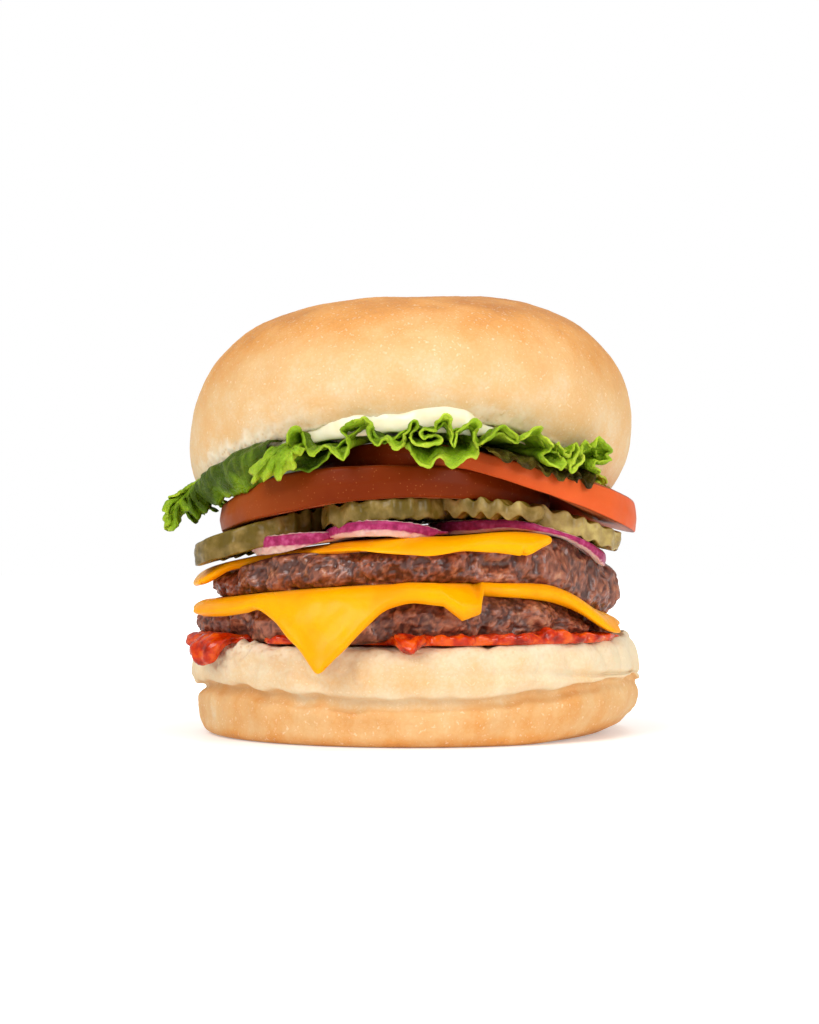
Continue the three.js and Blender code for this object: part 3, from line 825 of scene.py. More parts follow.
@dataclass(frozen=True)
class BacklitAcrylic(Finish):
    """White sheet that glows with painted light, though no lamp lies under it: an even white that softens
    shadows, with a faint polished reflection.

    Its glow lights the burger with "glow", and the camera sees it glow as bright as "near" under the burger
    and as "far" away from it.
    """

    glow: float = 0.12
    near: float = 0.34
    far: float = 1.0
    polish: float = 0.12

    def surface(self, tree: Tree, place: Socket) -> Socket:
        """Draws nearly even white that glows, under a thin share of mirror."""
        faint = add(tree, "TexNoise", {"Vector": place, "Scale": per_mm(90), "Detail": 2.0}).outputs["Fac"]
        whites = [(0.3, "#f6f6f6"), (0.7, "#fbfbfa")]
        colour = add(tree, "ValToRGB", {"Fac": faint}, stops=whites).outputs["Color"]
        glowing = {"Base Color": colour, "Roughness": 0.8, "Specular IOR Level": 0.0}
        # painted glow: the sheet emits its own light, "glow" towards the burger, and for the camera from
        # "near" under it to "far" away
        away = add(tree, "VectorMath", {0: place}, operation="LENGTH").outputs["Value"]
        spread = {"Value": away, "From Min": 60 * MM, "From Max": 200 * MM}
        spread |= {"To Min": self.near, "To Max": self.far}
        seen = add(tree, "MapRange", spread).outputs["Result"]
        direct = add(tree, "LightPath").outputs["Is Camera Ray"]
        strength = add(tree, "Mix", {0: direct, 2: self.glow, 3: seen}).outputs[0]
        glowing |= {"Emission Color": colour, "Emission Strength": strength}
        sheet = add(tree, "BsdfPrincipled", glowing).outputs[0]
        mirror = add(tree, "BsdfGlossy", {"Color": (1, 1, 1, 1), "Roughness": 0.12}).outputs[0]
        return add(tree, "MixShader", {0: self.polish, 1: sheet, 2: mirror}).outputs[0]


# ---- Swells ----


class Form(Enum):
    """How a value falls off on both sides of a bearing."""

    SOFT = 2
    FULL = 4


@dataclass(frozen=True)
class Swell:
    """How much a value grows near a bearing."""

    bearing: float
    width: float
    amount: float
    form: Form = Form.SOFT

    def at(self, bearing: Array) -> Array:
        """The value it adds at each bearing."""
        off = np.abs(turn_from(bearing, self.bearing) / self.width)
        return self.amount * np.exp(-(off**self.form.value))


def total(swells: Iterable[Swell], bearing: Array) -> Array:
    """What several swells add together at each bearing."""
    return sum((swell.at(bearing) for swell in swells), np.zeros_like(bearing))


# ---- Bun ----


@dataclass
class HeelBun(Layer):
    """The heel: a flat golden base, a crease where the soft side has folded, and a pale bulge over it."""

    base: float = 46.6
    waist: float = 48.6
    bulge: float = 51.2
    crease: float = 9.6
    rises: tuple[Swell, ...] = (Swell(-62, 24, 2), Swell(-8, 30, -0.5), Swell(64, 30, 3.4))
    lips: tuple[Swell, ...] = (Swell(98, 26, 2.4), Swell(42, 26, 1.1), Swell(-48, 16, 0.7))
    name: str = "heel_bread"
    node: str = "bun_heel"
    finish: Crust = Crust("soft_bread_heel", "bun")

    def profile(self) -> Profile:
        """Draws the heel's section.

        Returns:
            Points of radius and height.
        """
        return [
            (0, 0), (24, 0), (self.base - 0.4, 0), (self.base + 1.7, 1.1), (self.waist - 0.1, 4.2),
            (self.waist + 0.6, 7.4), (self.waist - 0.6, self.crease), (self.bulge - 1, self.crease + 1.8),
            (self.bulge, 14.6), (self.bulge - 0.5, 18.6), (self.bulge - 2.0, 20.9),
            (self.bulge - 6.5, HEEL_TOP), (24, HEEL_TOP - 0.5), (0, HEEL_TOP - 0.6),
        ]

    def shape(self) -> Patch:
        """Shapes the folded and swollen side, with its fine relief.

        Returns:
            The closed patch.
        """
        patch = turned(stations(rounded(self.profile(), 1.5), 0.4, 40), 800)
        x, y, z = np.moveaxis(patch.points, -1, 0)
        bearing, reach = bearing_of(x, y), np.hypot(x, y)
        side = smoothstep(reach, self.base - 4, self.base) * smoothstep(z, 0.5, 4)
        flat = patch.points * [1, 1, 0]
        fold = bell(z - self.crease, 3.4) * side
        rise = total(self.rises, bearing) + 0.9 * GRAIN.waves(flat, 7, 11)
        full = 2.2 * smoothstep(x, 22, 48) * bell(z - 8.5, 4.5)
        swell = side * (0.8 * GRAIN.waves(patch.points, 15, 2) + 0.6 * smoothstep(x, 0, 50) + full)
        scale = (reach + swell) / reach
        lip = total(self.lips, bearing) * smoothstep(z, 15, 20) * smoothstep(reach, 46, 48.5)
        tuck = 1.8 * smoothstep(x, 22, 46) * smoothstep(reach, 41, 47) * (1 - smoothstep(z, 2, 7))
        height = np.minimum(z + fold * rise, HEEL_TOP) + lip + tuck
        folded = Patch(np.stack([x * scale, y * scale, height], -1), closed=True)
        upright = folded.points * [1, 1, 1 / 2.4]
        soft = 0.5 * GRAIN.waves(upright, 7.5, 3) + 0.16 * GRAIN.rough(folded.points, 2.6, 3, 4)
        pillow = np.abs(GRAIN.waves(folded.points * [1, 1, 0.6], 9, 17)) ** 0.6
        soft = soft + 1.1 * (pillow - 0.5) * smoothstep(z, 10.5, 13.5)
        pinch = -1.5 * bell(z - self.crease, 0.9) * side * (1 - 0.7 * smoothstep(x, 25, 45))
        second = 15.4 - 2.0 * smoothstep(bearing, 20, 75) + 0.7 * GRAIN.waves(flat, 9, 6)
        pinch = pinch - 1.1 * bell(z - second, 0.9) * bell(turn_from(bearing, 52), 34) * side
        slanting = turn_from(bearing, -28) + 1.6 * (z - 14)
        slanting = slanting + 3 * GRAIN.waves(patch.points * [0, 0, 1], 5, 8)
        pinch = pinch - 0.9 * bell(slanting, 3.2) * smoothstep(z, 10.5, 14) * side
        crumbly = bell(turn_from(bearing, -55), 20) * smoothstep(z, 13.5, 17.5) * side
        pitted = 0.7 * GRAIN.rough(folded.points, 2.2, 3, 21) * crumbly
        made = folded.raised((soft * side + pinch + pitted) * smoothstep(z, 0.2, 2.5))
        top = smoothstep(z, HEEL_TOP - 1.6, HEEL_TOP - 0.2) * (1 - smoothstep(reach, 45, 50))
        ragged = z + 1.3 * GRAIN.rough(patch.points, 3, 3, 12)
        torn = smoothstep(ragged, HEEL_TOP - 3.4, HEEL_TOP - 1.2) * (0.35 + 0.65 * bell(bearing + 56, 20))
        top = np.maximum(top, torn)
        blush = 0.15 * bell(turn_from(bearing, -4), 36) * smoothstep(z, 11, 14)
        band = 1 - smoothstep(z - fold * rise * 0.6, self.crease - 1.5, self.crease + 1.2)
        bake = 0.16 + blush + 0.3 * band + 0.2 * (1 - smoothstep(z, 0.6, 3.2)) - 0.08 * smoothstep(z, 12, 18)
        bake = bake + 0.1 * GRAIN.rough(upright, 5, 3, 7) * (0.4 + band)
        made.values = {"bake": bake, "crumb": np.clip(top, 0, 1)}
        return made


@dataclass
class CrownBun(Layer):
    """The crown: a leaning dome whose cut rim is arched over the filling."""

    rim_level: float = 69.4
    rim_radius: float = 47.6
    widest: float = 50.9
    top: float = 99.4
    widest_at: float = 0.27
    power: float = 2.38
    rips: tuple[Swell, ...] = (Swell(-52, 24, 1.0), Swell(22, 12, 0.5))
    name: str = "crown_bread"
    node: str = "bun_crown"
    finish: Crust = Crust("soft_bread_crown", "bun")

    def underside(self, x: Array, y: Array) -> Array:
        """The height of the cut face, which is held a little open in front."""
        return settled_height(x, self.rim_level - 0.012 * (y + 48)) - 3.6 * smoothstep(x, 33, 47)

    def profile(self) -> Array:
        """Draws the dome's section, with its points close together all the way up.

        Returns:
            Points of radius and share of the height.
        """
        low = np.linspace(0.0, self.widest_at, 30)
        under = (self.widest_at - low) / self.widest_at
        lower = self.widest - (self.widest - self.rim_radius) * under**1.8
        turn = np.linspace(0, math.pi / 2, 160)[1:]
        high = self.widest_at + (1 - self.widest_at) * np.sin(turn) ** (2 / self.power)
        upper = self.widest * np.cos(turn) ** (2 / self.power)
        side = np.stack([np.concatenate([lower, upper]), np.concatenate([low, high])], 1)
        rim = self.rim_radius
        cut = np.array([[0, 0], [14, 0], [27, 0], [39, 0], [rim - 1.0, 0.0], [rim - 0.3, 0.008]])
        return np.concatenate([cut, side[1:]])

    def shape(self) -> Patch:
        """Shapes the dome with its dents, tucks and fine wrinkles.

        Returns:
            The closed patch.
        """
        depth = self.top - self.rim_level
        patch = turned(stations(self.profile() * [1, depth], 0.5, 42, 2.0), 660)
        x, y, z = np.moveaxis(patch.points, -1, 0)
        share = z / depth
        x = x + mix(-1.6, 2.4, share) - 1.2 * smoothstep(x, 20, 50) * (1 - smoothstep(share, 0, 0.5))
        here = np.stack([x, y, share * 30], -1)
        dent = 0.7 * GRAIN.waves(here, 24, 1) * smoothstep(share, 0.05, 0.3)
        height = mix(self.underside(x, y), self.top + dent, share)
        domed = Patch(np.stack([x, y, height], -1), closed=True)
        reach = np.hypot(x, y)
        cut = (share < 0.012) | (z <= 1e-6)
        rim = 1 - smoothstep(share, 0.0, 0.05)
        soft = 0.26 * GRAIN.waves(here, 9, 5) + 0.08 * GRAIN.rough(here, 2.4, 3, 6)
        ragged = share - 0.06 * GRAIN.rough(here, 4, 3, 14)
        rip = total(self.rips, bearing_of(x, y)) * (1 - smoothstep(ragged, 0.07, 0.14))
        rim = np.maximum(rim, rip)
        torn = 0.5 * GRAIN.rough(here, 1.8, 3, 9) * rim * smoothstep(reach, 40, 46)
        made = domed.raised(soft * (1 - rim) + torn)
        bake = 0.31 + (0.48 + 0.1 * smoothstep(x, 0, 40)) * smoothstep(share, 0.25, 0.95)
        bake = bake + 0.05 * GRAIN.rough(here, 12, 3, 8)
        bake = bake + 0.08 * smoothstep(-x, 10, 50) * smoothstep(share, 0.15, 0.5) - 0.12 * rim
        made.values = {"bake": bake, "crumb": np.where(cut, 1.0, 0.8 * rim)}
        return made


# ---- Meat ----


@dataclass
class BeefPatty(Layer):
    """A seared patty of coarse mince: its side is a rough rim of mounds and clefts."""

    name: str
    node: str
    x: float
    radius: float
    bottom: float
    top: float
    seed: float
    sear: float
    brims: tuple[Swell, ...] = ()
    skirts: tuple[Swell, ...] = ()
    finish: SearedMince = SearedMince("seared_ground_beef", "patty")

    def profile(self) -> Profile:
        """Draws the patty's section: a full side between level faces.

        Returns:
            Points of radius and height.
        """
        full, low, high = self.radius, self.bottom - 0.2, self.top + 0.2
        middle, half = (low + high) / 2, (high - low) / 2
        return [
            (0, low), (17, low), (33, low), (full - 1.6, low), (full - 0.3, middle - half * 0.55),
            (full + 0.1, middle), (full - 0.4, middle + half * 0.6), (full - 2.4, high),
            (33, high), (17, high), (0, high),
        ]

    def shape(self) -> Patch:
        """Shapes the rim: large mounds with clefts between them, torn clumps on them, and fine fibres.

        Returns:
            The closed patch.
        """
        patch = turned(stations(rounded(self.profile(), 1.6), 0.33, self.radius - 7), 860)
        x, y, level = np.moveaxis(patch.points, -1, 0)
        reach, bearing = np.hypot(x, y), bearing_of(x, y)
        outer = smoothstep(reach, self.radius - 8, self.radius - 4)
        up = total(self.brims, bearing) * smoothstep(level, self.bottom + 2, self.top)
        down = total(self.skirts, bearing) * (1 - smoothstep(level, self.bottom, self.top - 2))
        z = level + (up - down) * outer
        patch = Patch(np.stack([x + self.x, y, z], -1), closed=True).settled()
        rough = smoothstep(reach, self.radius - 5, self.radius - 1.5)
        here = patch.points + 1.6 * self.swirl(patch.points, 5.0)
        mounds, _ = GRAIN.clumps(here, 9.5, self.seed)
        breaks = GRAIN.waves(here, 7.5, self.seed) + 0.6 * GRAIN.waves(here, 4.1, self.seed + 5)
        broken = np.clip(rough * (1.7 * smoothstep(mounds, 0, 0.6) - 1.5 + 0.75 * breaks), -2.4, 0.7)
        scale = (reach + broken) / reach
        body = Patch(np.stack([x * scale + self.x, y * scale, patch.points[..., 2]], -1), closed=True)
        twisted = body.points + 0.9 * self.swirl(body.points, 2.2)
        coarse, owner = GRAIN.clumps(twisted, 2.9, self.seed + 1)
        small, other = GRAIN.clumps(twisted, 1.2, self.seed + 2)
        mound, bead = np.sqrt(np.clip(coarse, 0, 1)), np.sqrt(np.clip(small, 0, 1))
        fibres = GRAIN.rough(twisted, 1.3, 3, self.seed + 3)
        lumps = GRAIN.waves(twisted, 3.1, self.seed + 9)
        relief = 0.5 * (mound - 0.6) + 0.5 * (bead - 0.6) + 0.45 * lumps + 0.14 * fibres
        upright = 1 - np.abs(body.normals()[..., 2])
        made = body.raised(relief * rough * (0.3 + 0.7 * smoothstep(upright, 0, 0.5)))
        share = (z - self.bottom) / (self.top - self.bottom)
        cleft = 1 - smoothstep(mounds, 0, 0.35)
        char = self.sear * smoothstep(share + 0.15 * breaks, 0.5, 0.95)
        char = char + 0.5 * (1 - smoothstep(share, 0.02, 0.2))
        depth = 0.25 * mound + 0.3 * bead + 0.35 * (fibres + 0.8) + 0.15 * lumps - 0.3 * cleft
        made.values = {
            "depth": np.clip(depth, 0, 1),
            "grain": 0.15 * owner + 0.35 * other + 0.5 * np.clip(0.5 + 0.8 * fibres, 0, 1),
            "char": np.clip(char, 0, 1),
        }
        return made

    def swirl(self, points: Array, size: float) -> Array:
        """Offsets that bend straight seams, of about -1 to 1 in each direction."""
        return np.stack([GRAIN.waves(points, size, self.seed + shift) for shift in (21, 22, 23)], -1)


# ---- Draped layers ----


@dataclass(frozen=True)
class Edge:
    """What a soft layer hangs over: level as far as `reach`, round a bend, and down at a slope in degrees."""

    level: float
    reach: float
    bend: float
    slope: Array | float

    def carry(self, x: Array, y: Array, lift: Array) -> Array:
        """Carries points of the level layer over the edge.

        Args:
            x: place to the right in the level layer.
            y: place to the back.
            lift: height within the layer.

        Returns:
            The places of the points.
        """
        reach = np.maximum(np.hypot(x, y), 1e-6)
        past = np.maximum(reach - self.reach, 0)
        slope = np.radians(self.slope)
        turn = np.minimum(past / self.bend, slope)
        straight = past - turn * self.bend
        over = self.reach + (self.bend + lift) * np.sin(turn) + straight * np.cos(slope)
        out = np.where(past > 0, over, reach)
        height = self.level - self.bend + (self.bend + lift) * np.cos(turn) - straight * np.sin(slope)
        return np.stack([x / reach * out, y / reach * out, height], -1)


def smooth_curve(points: Array, steps: int) -> Array:
    """A smooth curve through points.

    Args:
        points: the points, one in a row.
        steps: number of points made for each given one.

    Returns:
        The points of the curve.
    """
    knots = np.concatenate([points[:1], points, points[-1:]])
    share = np.linspace(0, 1, steps, endpoint=False)[:, None]
    runs = []
    for a, b, c, d in zip(knots[:-3], knots[1:-2], knots[2:-1], knots[3:]):
        bend = (2 * a - 5 * b + 4 * c - d) * share**2 + (3 * b - a - 3 * c + d) * share**3
        runs.append(b + 0.5 * ((c - a) * share + bend))
    return np.concatenate([*runs, knots[-1:]])


@dataclass(frozen=True)
class Rim:
    """How far past what carries it the edge of a layer lies, given at some bearings and smooth in between."""

    points: tuple[tuple[float, float], ...]

    def at(self, bearing: Array) -> Array:
        """Reads the rim.

        Args:
            bearing: bearings in degrees.

        Returns:
            How far it lies out at each, in mm.
        """
        ordered = np.array(sorted(self.points))
        around = np.concatenate([ordered[-2:] - [360, 0], ordered, ordered[:2] + [360, 0]])
        curve = smooth_curve(around, 12)
        return np.interp((bearing + 180) % 360 - 180, np.maximum.accumulate(curve[:, 0]), curve[:, 1])


LOWER_CHEESE_RIM = Rim((
    (-180, 3), (-150, 4.5), (-137, 9), (-126, 4), (-105, -1.5), (-88, -4.6), (-79, -3.8), (-70, -0.6),
    (-61, 4.0), (-53, 5.4), (-42, 5.2), (-37, 4.2), (-32, 6.5), (-27, 11), (-22.5, 15), (-19, 18.9),
    (-17.3, 19.2), (-15.8, 17.5), (-13, 14.2), (-10.5, 11), (-8, 8.5), (-5.5, 6), (-2.5, 4.6), (1, 4.0),
    (4, 4.2), (6.8, 4.5), (8.8, 4.7), (10, 5.2), (11, 6.6), (12.2, 7.9), (13.6, 8.5), (15.2, 8.4),
    (16.4, 7.2), (17.4, 4.6), (18.2, 1.0), (19, -1.6), (20, -2.6), (21.8, -1.2), (24, 0.1), (28, 0.6),
    (31, 0.3), (34.5, 0.0), (38, 0.3), (42, 0.8), (46, 1.5), (50, 2.6), (54, 4.0), (58, 5.4), (61, 5.2),
    (64, 3.4), (68, 1.2), (78, 0.6), (90, 0.5), (108, 1), (122, 4), (133, 9), (144, 5), (160, 2.5),
))
UPPER_CHEESE_RIM = Rim((
    (-180, 1.5), (-160, 4), (-150, 7.5), (-138, 4), (-115, 0), (-95, 1.5), (-85, 4.2), (-78, 5.2),
    (-66, 6.2), (-62, 4.2), (-60, 2.0), (-56.5, -1.5), (-51.5, -4.0), (-40, -4.5), (-32.5, -4), (-25, -1.5),
    (-19.5, 0.6), (-14, 1.4), (-11, 2.2), (-8, 2.8), (-4.5, 3.2), (-0.5, 3.6), (3, 4.0), (7, 3.7),
    (11, 3.6), (15, 4.2), (19, 5.2), (23, 6.2), (27, 7.6), (30, 8.6), (32, 8.2), (33.6, 5.0), (35.5, -1),
    (38, -5.0), (44, -8.0), (62, -7.5), (80, -5.5), (100, -4.5), (112, -3.5), (121, 1.5), (130, 5),
    (140, 2.5), (152, 0),
))
KETCHUP_RIM = Rim((
    (-180, -4), (-160, -3), (-152, 3), (-146, 3.6), (-136, -3), (-110, -4.5), (-95, -3), (-84, -2.6),
    (-77, -0.6), (-72, 2.0), (-67.5, 3.4), (-64.5, 2.6), (-61.5, 4.6), (-57, 6.4), (-53, 5.4), (-50, -1),
    (-46, -4.5), (-42, -2.0), (-37, -0.4), (-33, -2), (-29, -4.5), (-10, -4.8), (-5.8, -3.5), (-4, 1.5),
    (-2.5, 3.4), (-1, 3.7), (0.8, 3.0), (2.4, 1.0), (4.5, -1.0), (8.5, -0.6), (13.5, 0.1), (20, -0.2),
    (28, 0.3), (36, 0.2), (44, 0.6), (52, 0.7), (60, 0.3), (67, -0.8), (75, -1.8), (84, -3.5), (120, -4.5),
    (140, 2), (150, 4.5), (160, 0), (170, -4),
))


@dataclass
class CheeseSlice(Layer):
    """A square slice, softened by the heat, that lies on a patty and droops over its rim."""

    name: str
    node: str
    patty: BeefPatty
    side: float
    x: float
    y: float
    corner: float
    slope: float
    slopes: list[Swell]
    rim: Rim
    beads: list[Swell]
    seed: float
    thickness: float = 2.5
    finish: MeltedCheese = MeltedCheese("softened_processed_cheese", "cheese")

    def lines(self) -> Array:
        """Spaces grid lines across the slice, closest at its rounded edges.

        Returns:
            Their places in mm.
        """
        half, edge = self.side / 2, self.thickness / 2
        inner = np.linspace(0, 14, 5)[:-1]
        visible = np.linspace(14, half - edge, math.ceil((half - edge - 14) / 0.42))[:-1]
        round_off = half - edge + edge * np.sin(np.linspace(0, math.pi / 2, 9))
        positive = np.concatenate([inner, visible, round_off])
        return np.concatenate([-positive[:0:-1], positive])

    def border(self, x: Array, y: Array) -> Array:
        """How far from the middle of the patty the slice's straight side lies, towards each point.

        Args:
            x: the point's place to the right of the patty's middle.
            y: its place to the back.

        Returns:
            The distances in mm.
        """
        facing = math.radians(self.corner - 45)
        cos, sin = math.cos(facing), math.sin(facing)
        reach = np.maximum(np.hypot(x, y), 1e-6)
        left, back = self.patty.x - self.x, -self.y
        start = left * cos + back * sin, back * cos - left * sin
        go = x * cos + y * sin, y * cos - x * sin
        sides = [
            (self.side / 2 * np.sign(way) - begin) * reach / np.where(np.abs(way) < 1e-9, 1e-9, way)
            for begin, way in zip(start, go)
        ]
        return np.minimum(*sides)

    def face(self, upper: bool) -> Patch:
        """One face of the slice. The two meet in its rounded edge.

        Args:
            upper: whether it is the upper face.

        Returns:
            The face, facing out.
        """
        half, edge = self.side / 2, self.thickness / 2
        across, along = np.meshgrid(self.lines(), self.lines())
        sides = np.stack([1 - (half - np.abs(side)) / edge for side in (across, along)])
        outward = np.minimum(np.linalg.norm(np.maximum(sides, 0), axis=0), 1)
        full = np.sqrt(1 - outward**2)
        facing = math.radians(self.corner - 45)
        x = self.x + across * math.cos(facing) - along * math.sin(facing) - self.patty.x
        y = self.y + across * math.sin(facing) + along * math.cos(facing)
        reach, bearing = np.hypot(x, y), bearing_of(x, y)
        flat = np.stack([x, y, np.zeros_like(x)], -1)
        support, still = self.patty.radius - 0.6, 31.0
        wanted = support + self.rim.at(bearing) + 0.3 * GRAIN.waves(flat, 5, self.seed)
        stretch = (wanted - still) / (self.border(x, y) - still)
        drawn = np.where(reach > still, still + (reach - still) * stretch, reach)
        scale = drawn / np.maximum(reach, 1e-6)
        x, y = x * scale, y * scale
        bead = total(self.beads, bearing) * smoothstep(drawn - wanted, -5.5, -1.2)
        fat = self.thickness * (1 - 0.12 * smoothstep(drawn - support, 2, 14)) + bead
        lift = fat * (0.5 + (0.5 if upper else -0.5) * full) - 0.2
        slope = self.slope + total(self.slopes, bearing)
        points = Edge(self.patty.top + GAP, support, 3.2, slope).carry(x, y, lift)
        points[..., 0] += self.patty.x
        hanging = smoothstep(drawn - support, 0, 5)
        sway = 0.4 * hanging * GRAIN.waves(points, 8, self.seed + 3)
        sway = sway + 0.1 * GRAIN.waves(points, 3.2, self.seed + 4)
        away = flat / np.maximum(reach, 1)[..., None]
        swayed = Patch(points + away * sway[..., None]).settled()
        return swayed if upper else swayed.reversed()

    def patches(self) -> list[Patch]:
        """Both faces of the slice."""
        return [self.face(True), self.face(False)]


@dataclass
class KetchupLayer(Layer):
    """Ketchup on the heel: a thin layer that is squeezed out into a fat wet bead and runs over the rim."""

    radius: float = 46.2
    support: float = 49.8
    bottom: float = 21.5
    thickness: float = 1.2
    rim: Rim = KETCHUP_RIM
    beads: tuple[Swell, ...] = (
        Swell(20, 16, 1.2), Swell(38, 7, 1.2), Swell(56, 14, 3.0), Swell(-57, 6, 2.6), Swell(-71, 5, 1.6),
        Swell(-37, 5, 0.7), Swell(-1, 4, 1.3), Swell(150, 10, 1.4), Swell(-150, 10, 1.4),
    )
    name: str = "ketchup_layer"
    node: str = "ketchup"
    finish: TomatoSauce = TomatoSauce("thick_tomato_ketchup", "ketchup")

    def shape(self) -> Patch:
        """Shapes the layer with its runs, beads and lumps.

        Returns:
            The closed patch.
        """
        full, thick = self.radius, self.thickness
        section = [
            (0, 0), (23, 0), (39.7, 0), (42.5, 0), (full, 0), (full, thick), (42.5, thick), (39.7, thick),
            (23, thick), (0, thick),
        ]
        patch = turned(stations(rounded(section, 0.6), 0.16, 39, 6.0), 620)
        x, y, z = np.moveaxis(patch.points, -1, 0)
        bearing, share = bearing_of(x, y), np.maximum(np.hypot(x, y) - 38, 0) / (self.radius - 38)
        flat = patch.points * [1, 1, 0]
        wobble = 0.9 * GRAIN.waves(flat, 4.2, 2) + 0.35 * GRAIN.waves(flat, 1.9, 3)
        spread = self.support + self.rim.at(bearing) + wobble - self.radius
        scale = 1 + share * spread / np.hypot(x, y)
        bead = total(self.beads, bearing) * smoothstep(share, 0.4, 0.8)
        lift = z * (1 + bead * (1 + 0.55 * GRAIN.waves(flat, 3.4, 5)) / thick)
        over = Edge(self.bottom, self.support, 3.0, 84.0).carry(x * scale, y * scale, lift)
        poured = Patch(over, closed=True)
        lumps = 0.7 * GRAIN.rough(over, 3.0, 2, 8) * smoothstep(share, 0.5, 0.8) * smoothstep(z, 0.2, 0.8)
        return poured.raised(lumps).settled()


# ---- Vegetables ----


# The rim of the upper cheese, as distances from the axis and heights in the level stack.
CHEESE_AT = (42, 46, 49.5)
CHEESE_TOP = (44.6, 43.3, 39.5)


def placed(patch: Patch, x: float, y: float, bottom: float, lean: float = 0.0) -> Patch:
    """Leans a slice about the front-to-back axis and puts it in its place in the pile.

    Args:
        patch: the slice, with the middle of its underside at the origin.
        x: place to the right.
        y: place to the back.
        bottom: height in the level stack.
        lean: angle in degrees; the right side goes down.

    Returns:
        The slice in the settled pile.
    """
    along, back, up = np.moveaxis(patch.points, -1, 0)
    turn = math.radians(lean)
    leaning = [
        x + along * math.cos(turn) + up * math.sin(turn), y + back,
        bottom + up * math.cos(turn) - along * math.sin(turn),
    ]
    return Patch(np.stack(leaning, -1), patch.values, patch.closed).settled()


@dataclass
class OnionSlice(Layer):
    """A slice of red onion: a purple band round the rim, and under it the pale edge of the cut face.

    It lies on the cheese, and is pressed flat where the cheese is in its way.
    """

    name: str
    node: str
    x: float
    y: float
    radius: float
    bottom: float
    seed: float
    lip: list[Swell]
    lean: float = 0.0
    arch: float = 0.0
    crest: float = 0.0
    curl: float = 0.0
    facing: float = 0.0
    sunk: float = 0.0
    thickness: float = 2.4
    band: float = 2.0
    finish: RedOnion = RedOnion("raw_red_onion", "onion")

    def profile(self) -> Profile:
        """Draws the slice's section: an upright wall over a slanting edge.

        Returns:
            Points of radius and height.
        """
        full, thick = self.radius, self.thickness
        return [
            (0, 0), (full * 0.4, 0), (full * 0.84, 0), (full - 1.7, 0), (full - 0.1, thick - self.band),
            (full + 0.15, thick - 0.5 * self.band), (full, thick), (full * 0.84, thick), (full * 0.4, thick),
            (0, thick),
        ]

    def shape(self) -> Patch:
        """Shapes the slice and puts it in its place.

        Returns:
            The closed patch.
        """
        patch = turned(stations(rounded(self.profile(), 0.35), 0.22, self.radius * 0.6, 2.0), 420)
        x, y, z = np.moveaxis(patch.points, -1, 0)
        angle = np.arctan2(y, x)
        out = 1 + 0.02 * (np.cos(2 * angle + self.seed) + 0.6 * np.cos(3 * angle + 2 * self.seed))
        inset = np.maximum(self.radius - np.hypot(x, y), 0)
        x, y = x * out, y * out
        reach, bearing = np.hypot(self.x + x, self.y + y), bearing_of(self.x + x, self.y + y)
        low = 1 - smoothstep(z, 0, self.thickness - self.band)
        hang = total(self.lip, bearing) * smoothstep(inset, 7, 1.7) * low
        raised = self.curl * smoothstep(reach, 37, 46.5) * bell(turn_from(bearing, self.facing), 36)
        z = z - hang + raised - self.arch * ((x - self.crest) / self.radius) ** 2
        jagged = 0.5 * GRAIN.waves(patch.points, 0.9, self.seed + 3)
        jagged = jagged + 0.5 * GRAIN.waves(patch.points, 2.3, self.seed)
        height = patch.points[..., 2] + 0.3 * jagged
        wall = smoothstep(height, self.thickness - self.band - 0.1, self.thickness - self.band + 0.15)
        wall = wall * (1 - smoothstep(inset, 0.1, 0.45))
        cut = Patch(np.stack([x, y, z], -1), closed=True)
        rings = 0.2 * np.abs(np.sin(math.pi * inset / 3.0)) * (1 - wall)
        ragged = 0.3 * GRAIN.waves(cut.points, 1.1, self.seed) * bell(inset, 1.6) * (1 - wall)
        rough = cut.raised(rings + ragged + 0.22 * GRAIN.waves(cut.points, 6, self.seed + 2))
        x, y, z = np.moveaxis(rough.points, -1, 0)
        turn = math.radians(self.lean)
        up = self.bottom + z * math.cos(turn) - x * math.sin(turn)
        floor = np.interp(reach, CHEESE_AT, CHEESE_TOP) + 0.35 * patch.points[..., 2]
        up = np.maximum(up, floor - self.sunk * smoothstep(self.x + x, 20, 34))
        points = np.stack([self.x + x * math.cos(turn) + z * math.sin(turn), self.y + y, up], -1)
        return Patch(points, {"inset": inset, "wall": wall}, closed=True).settled()


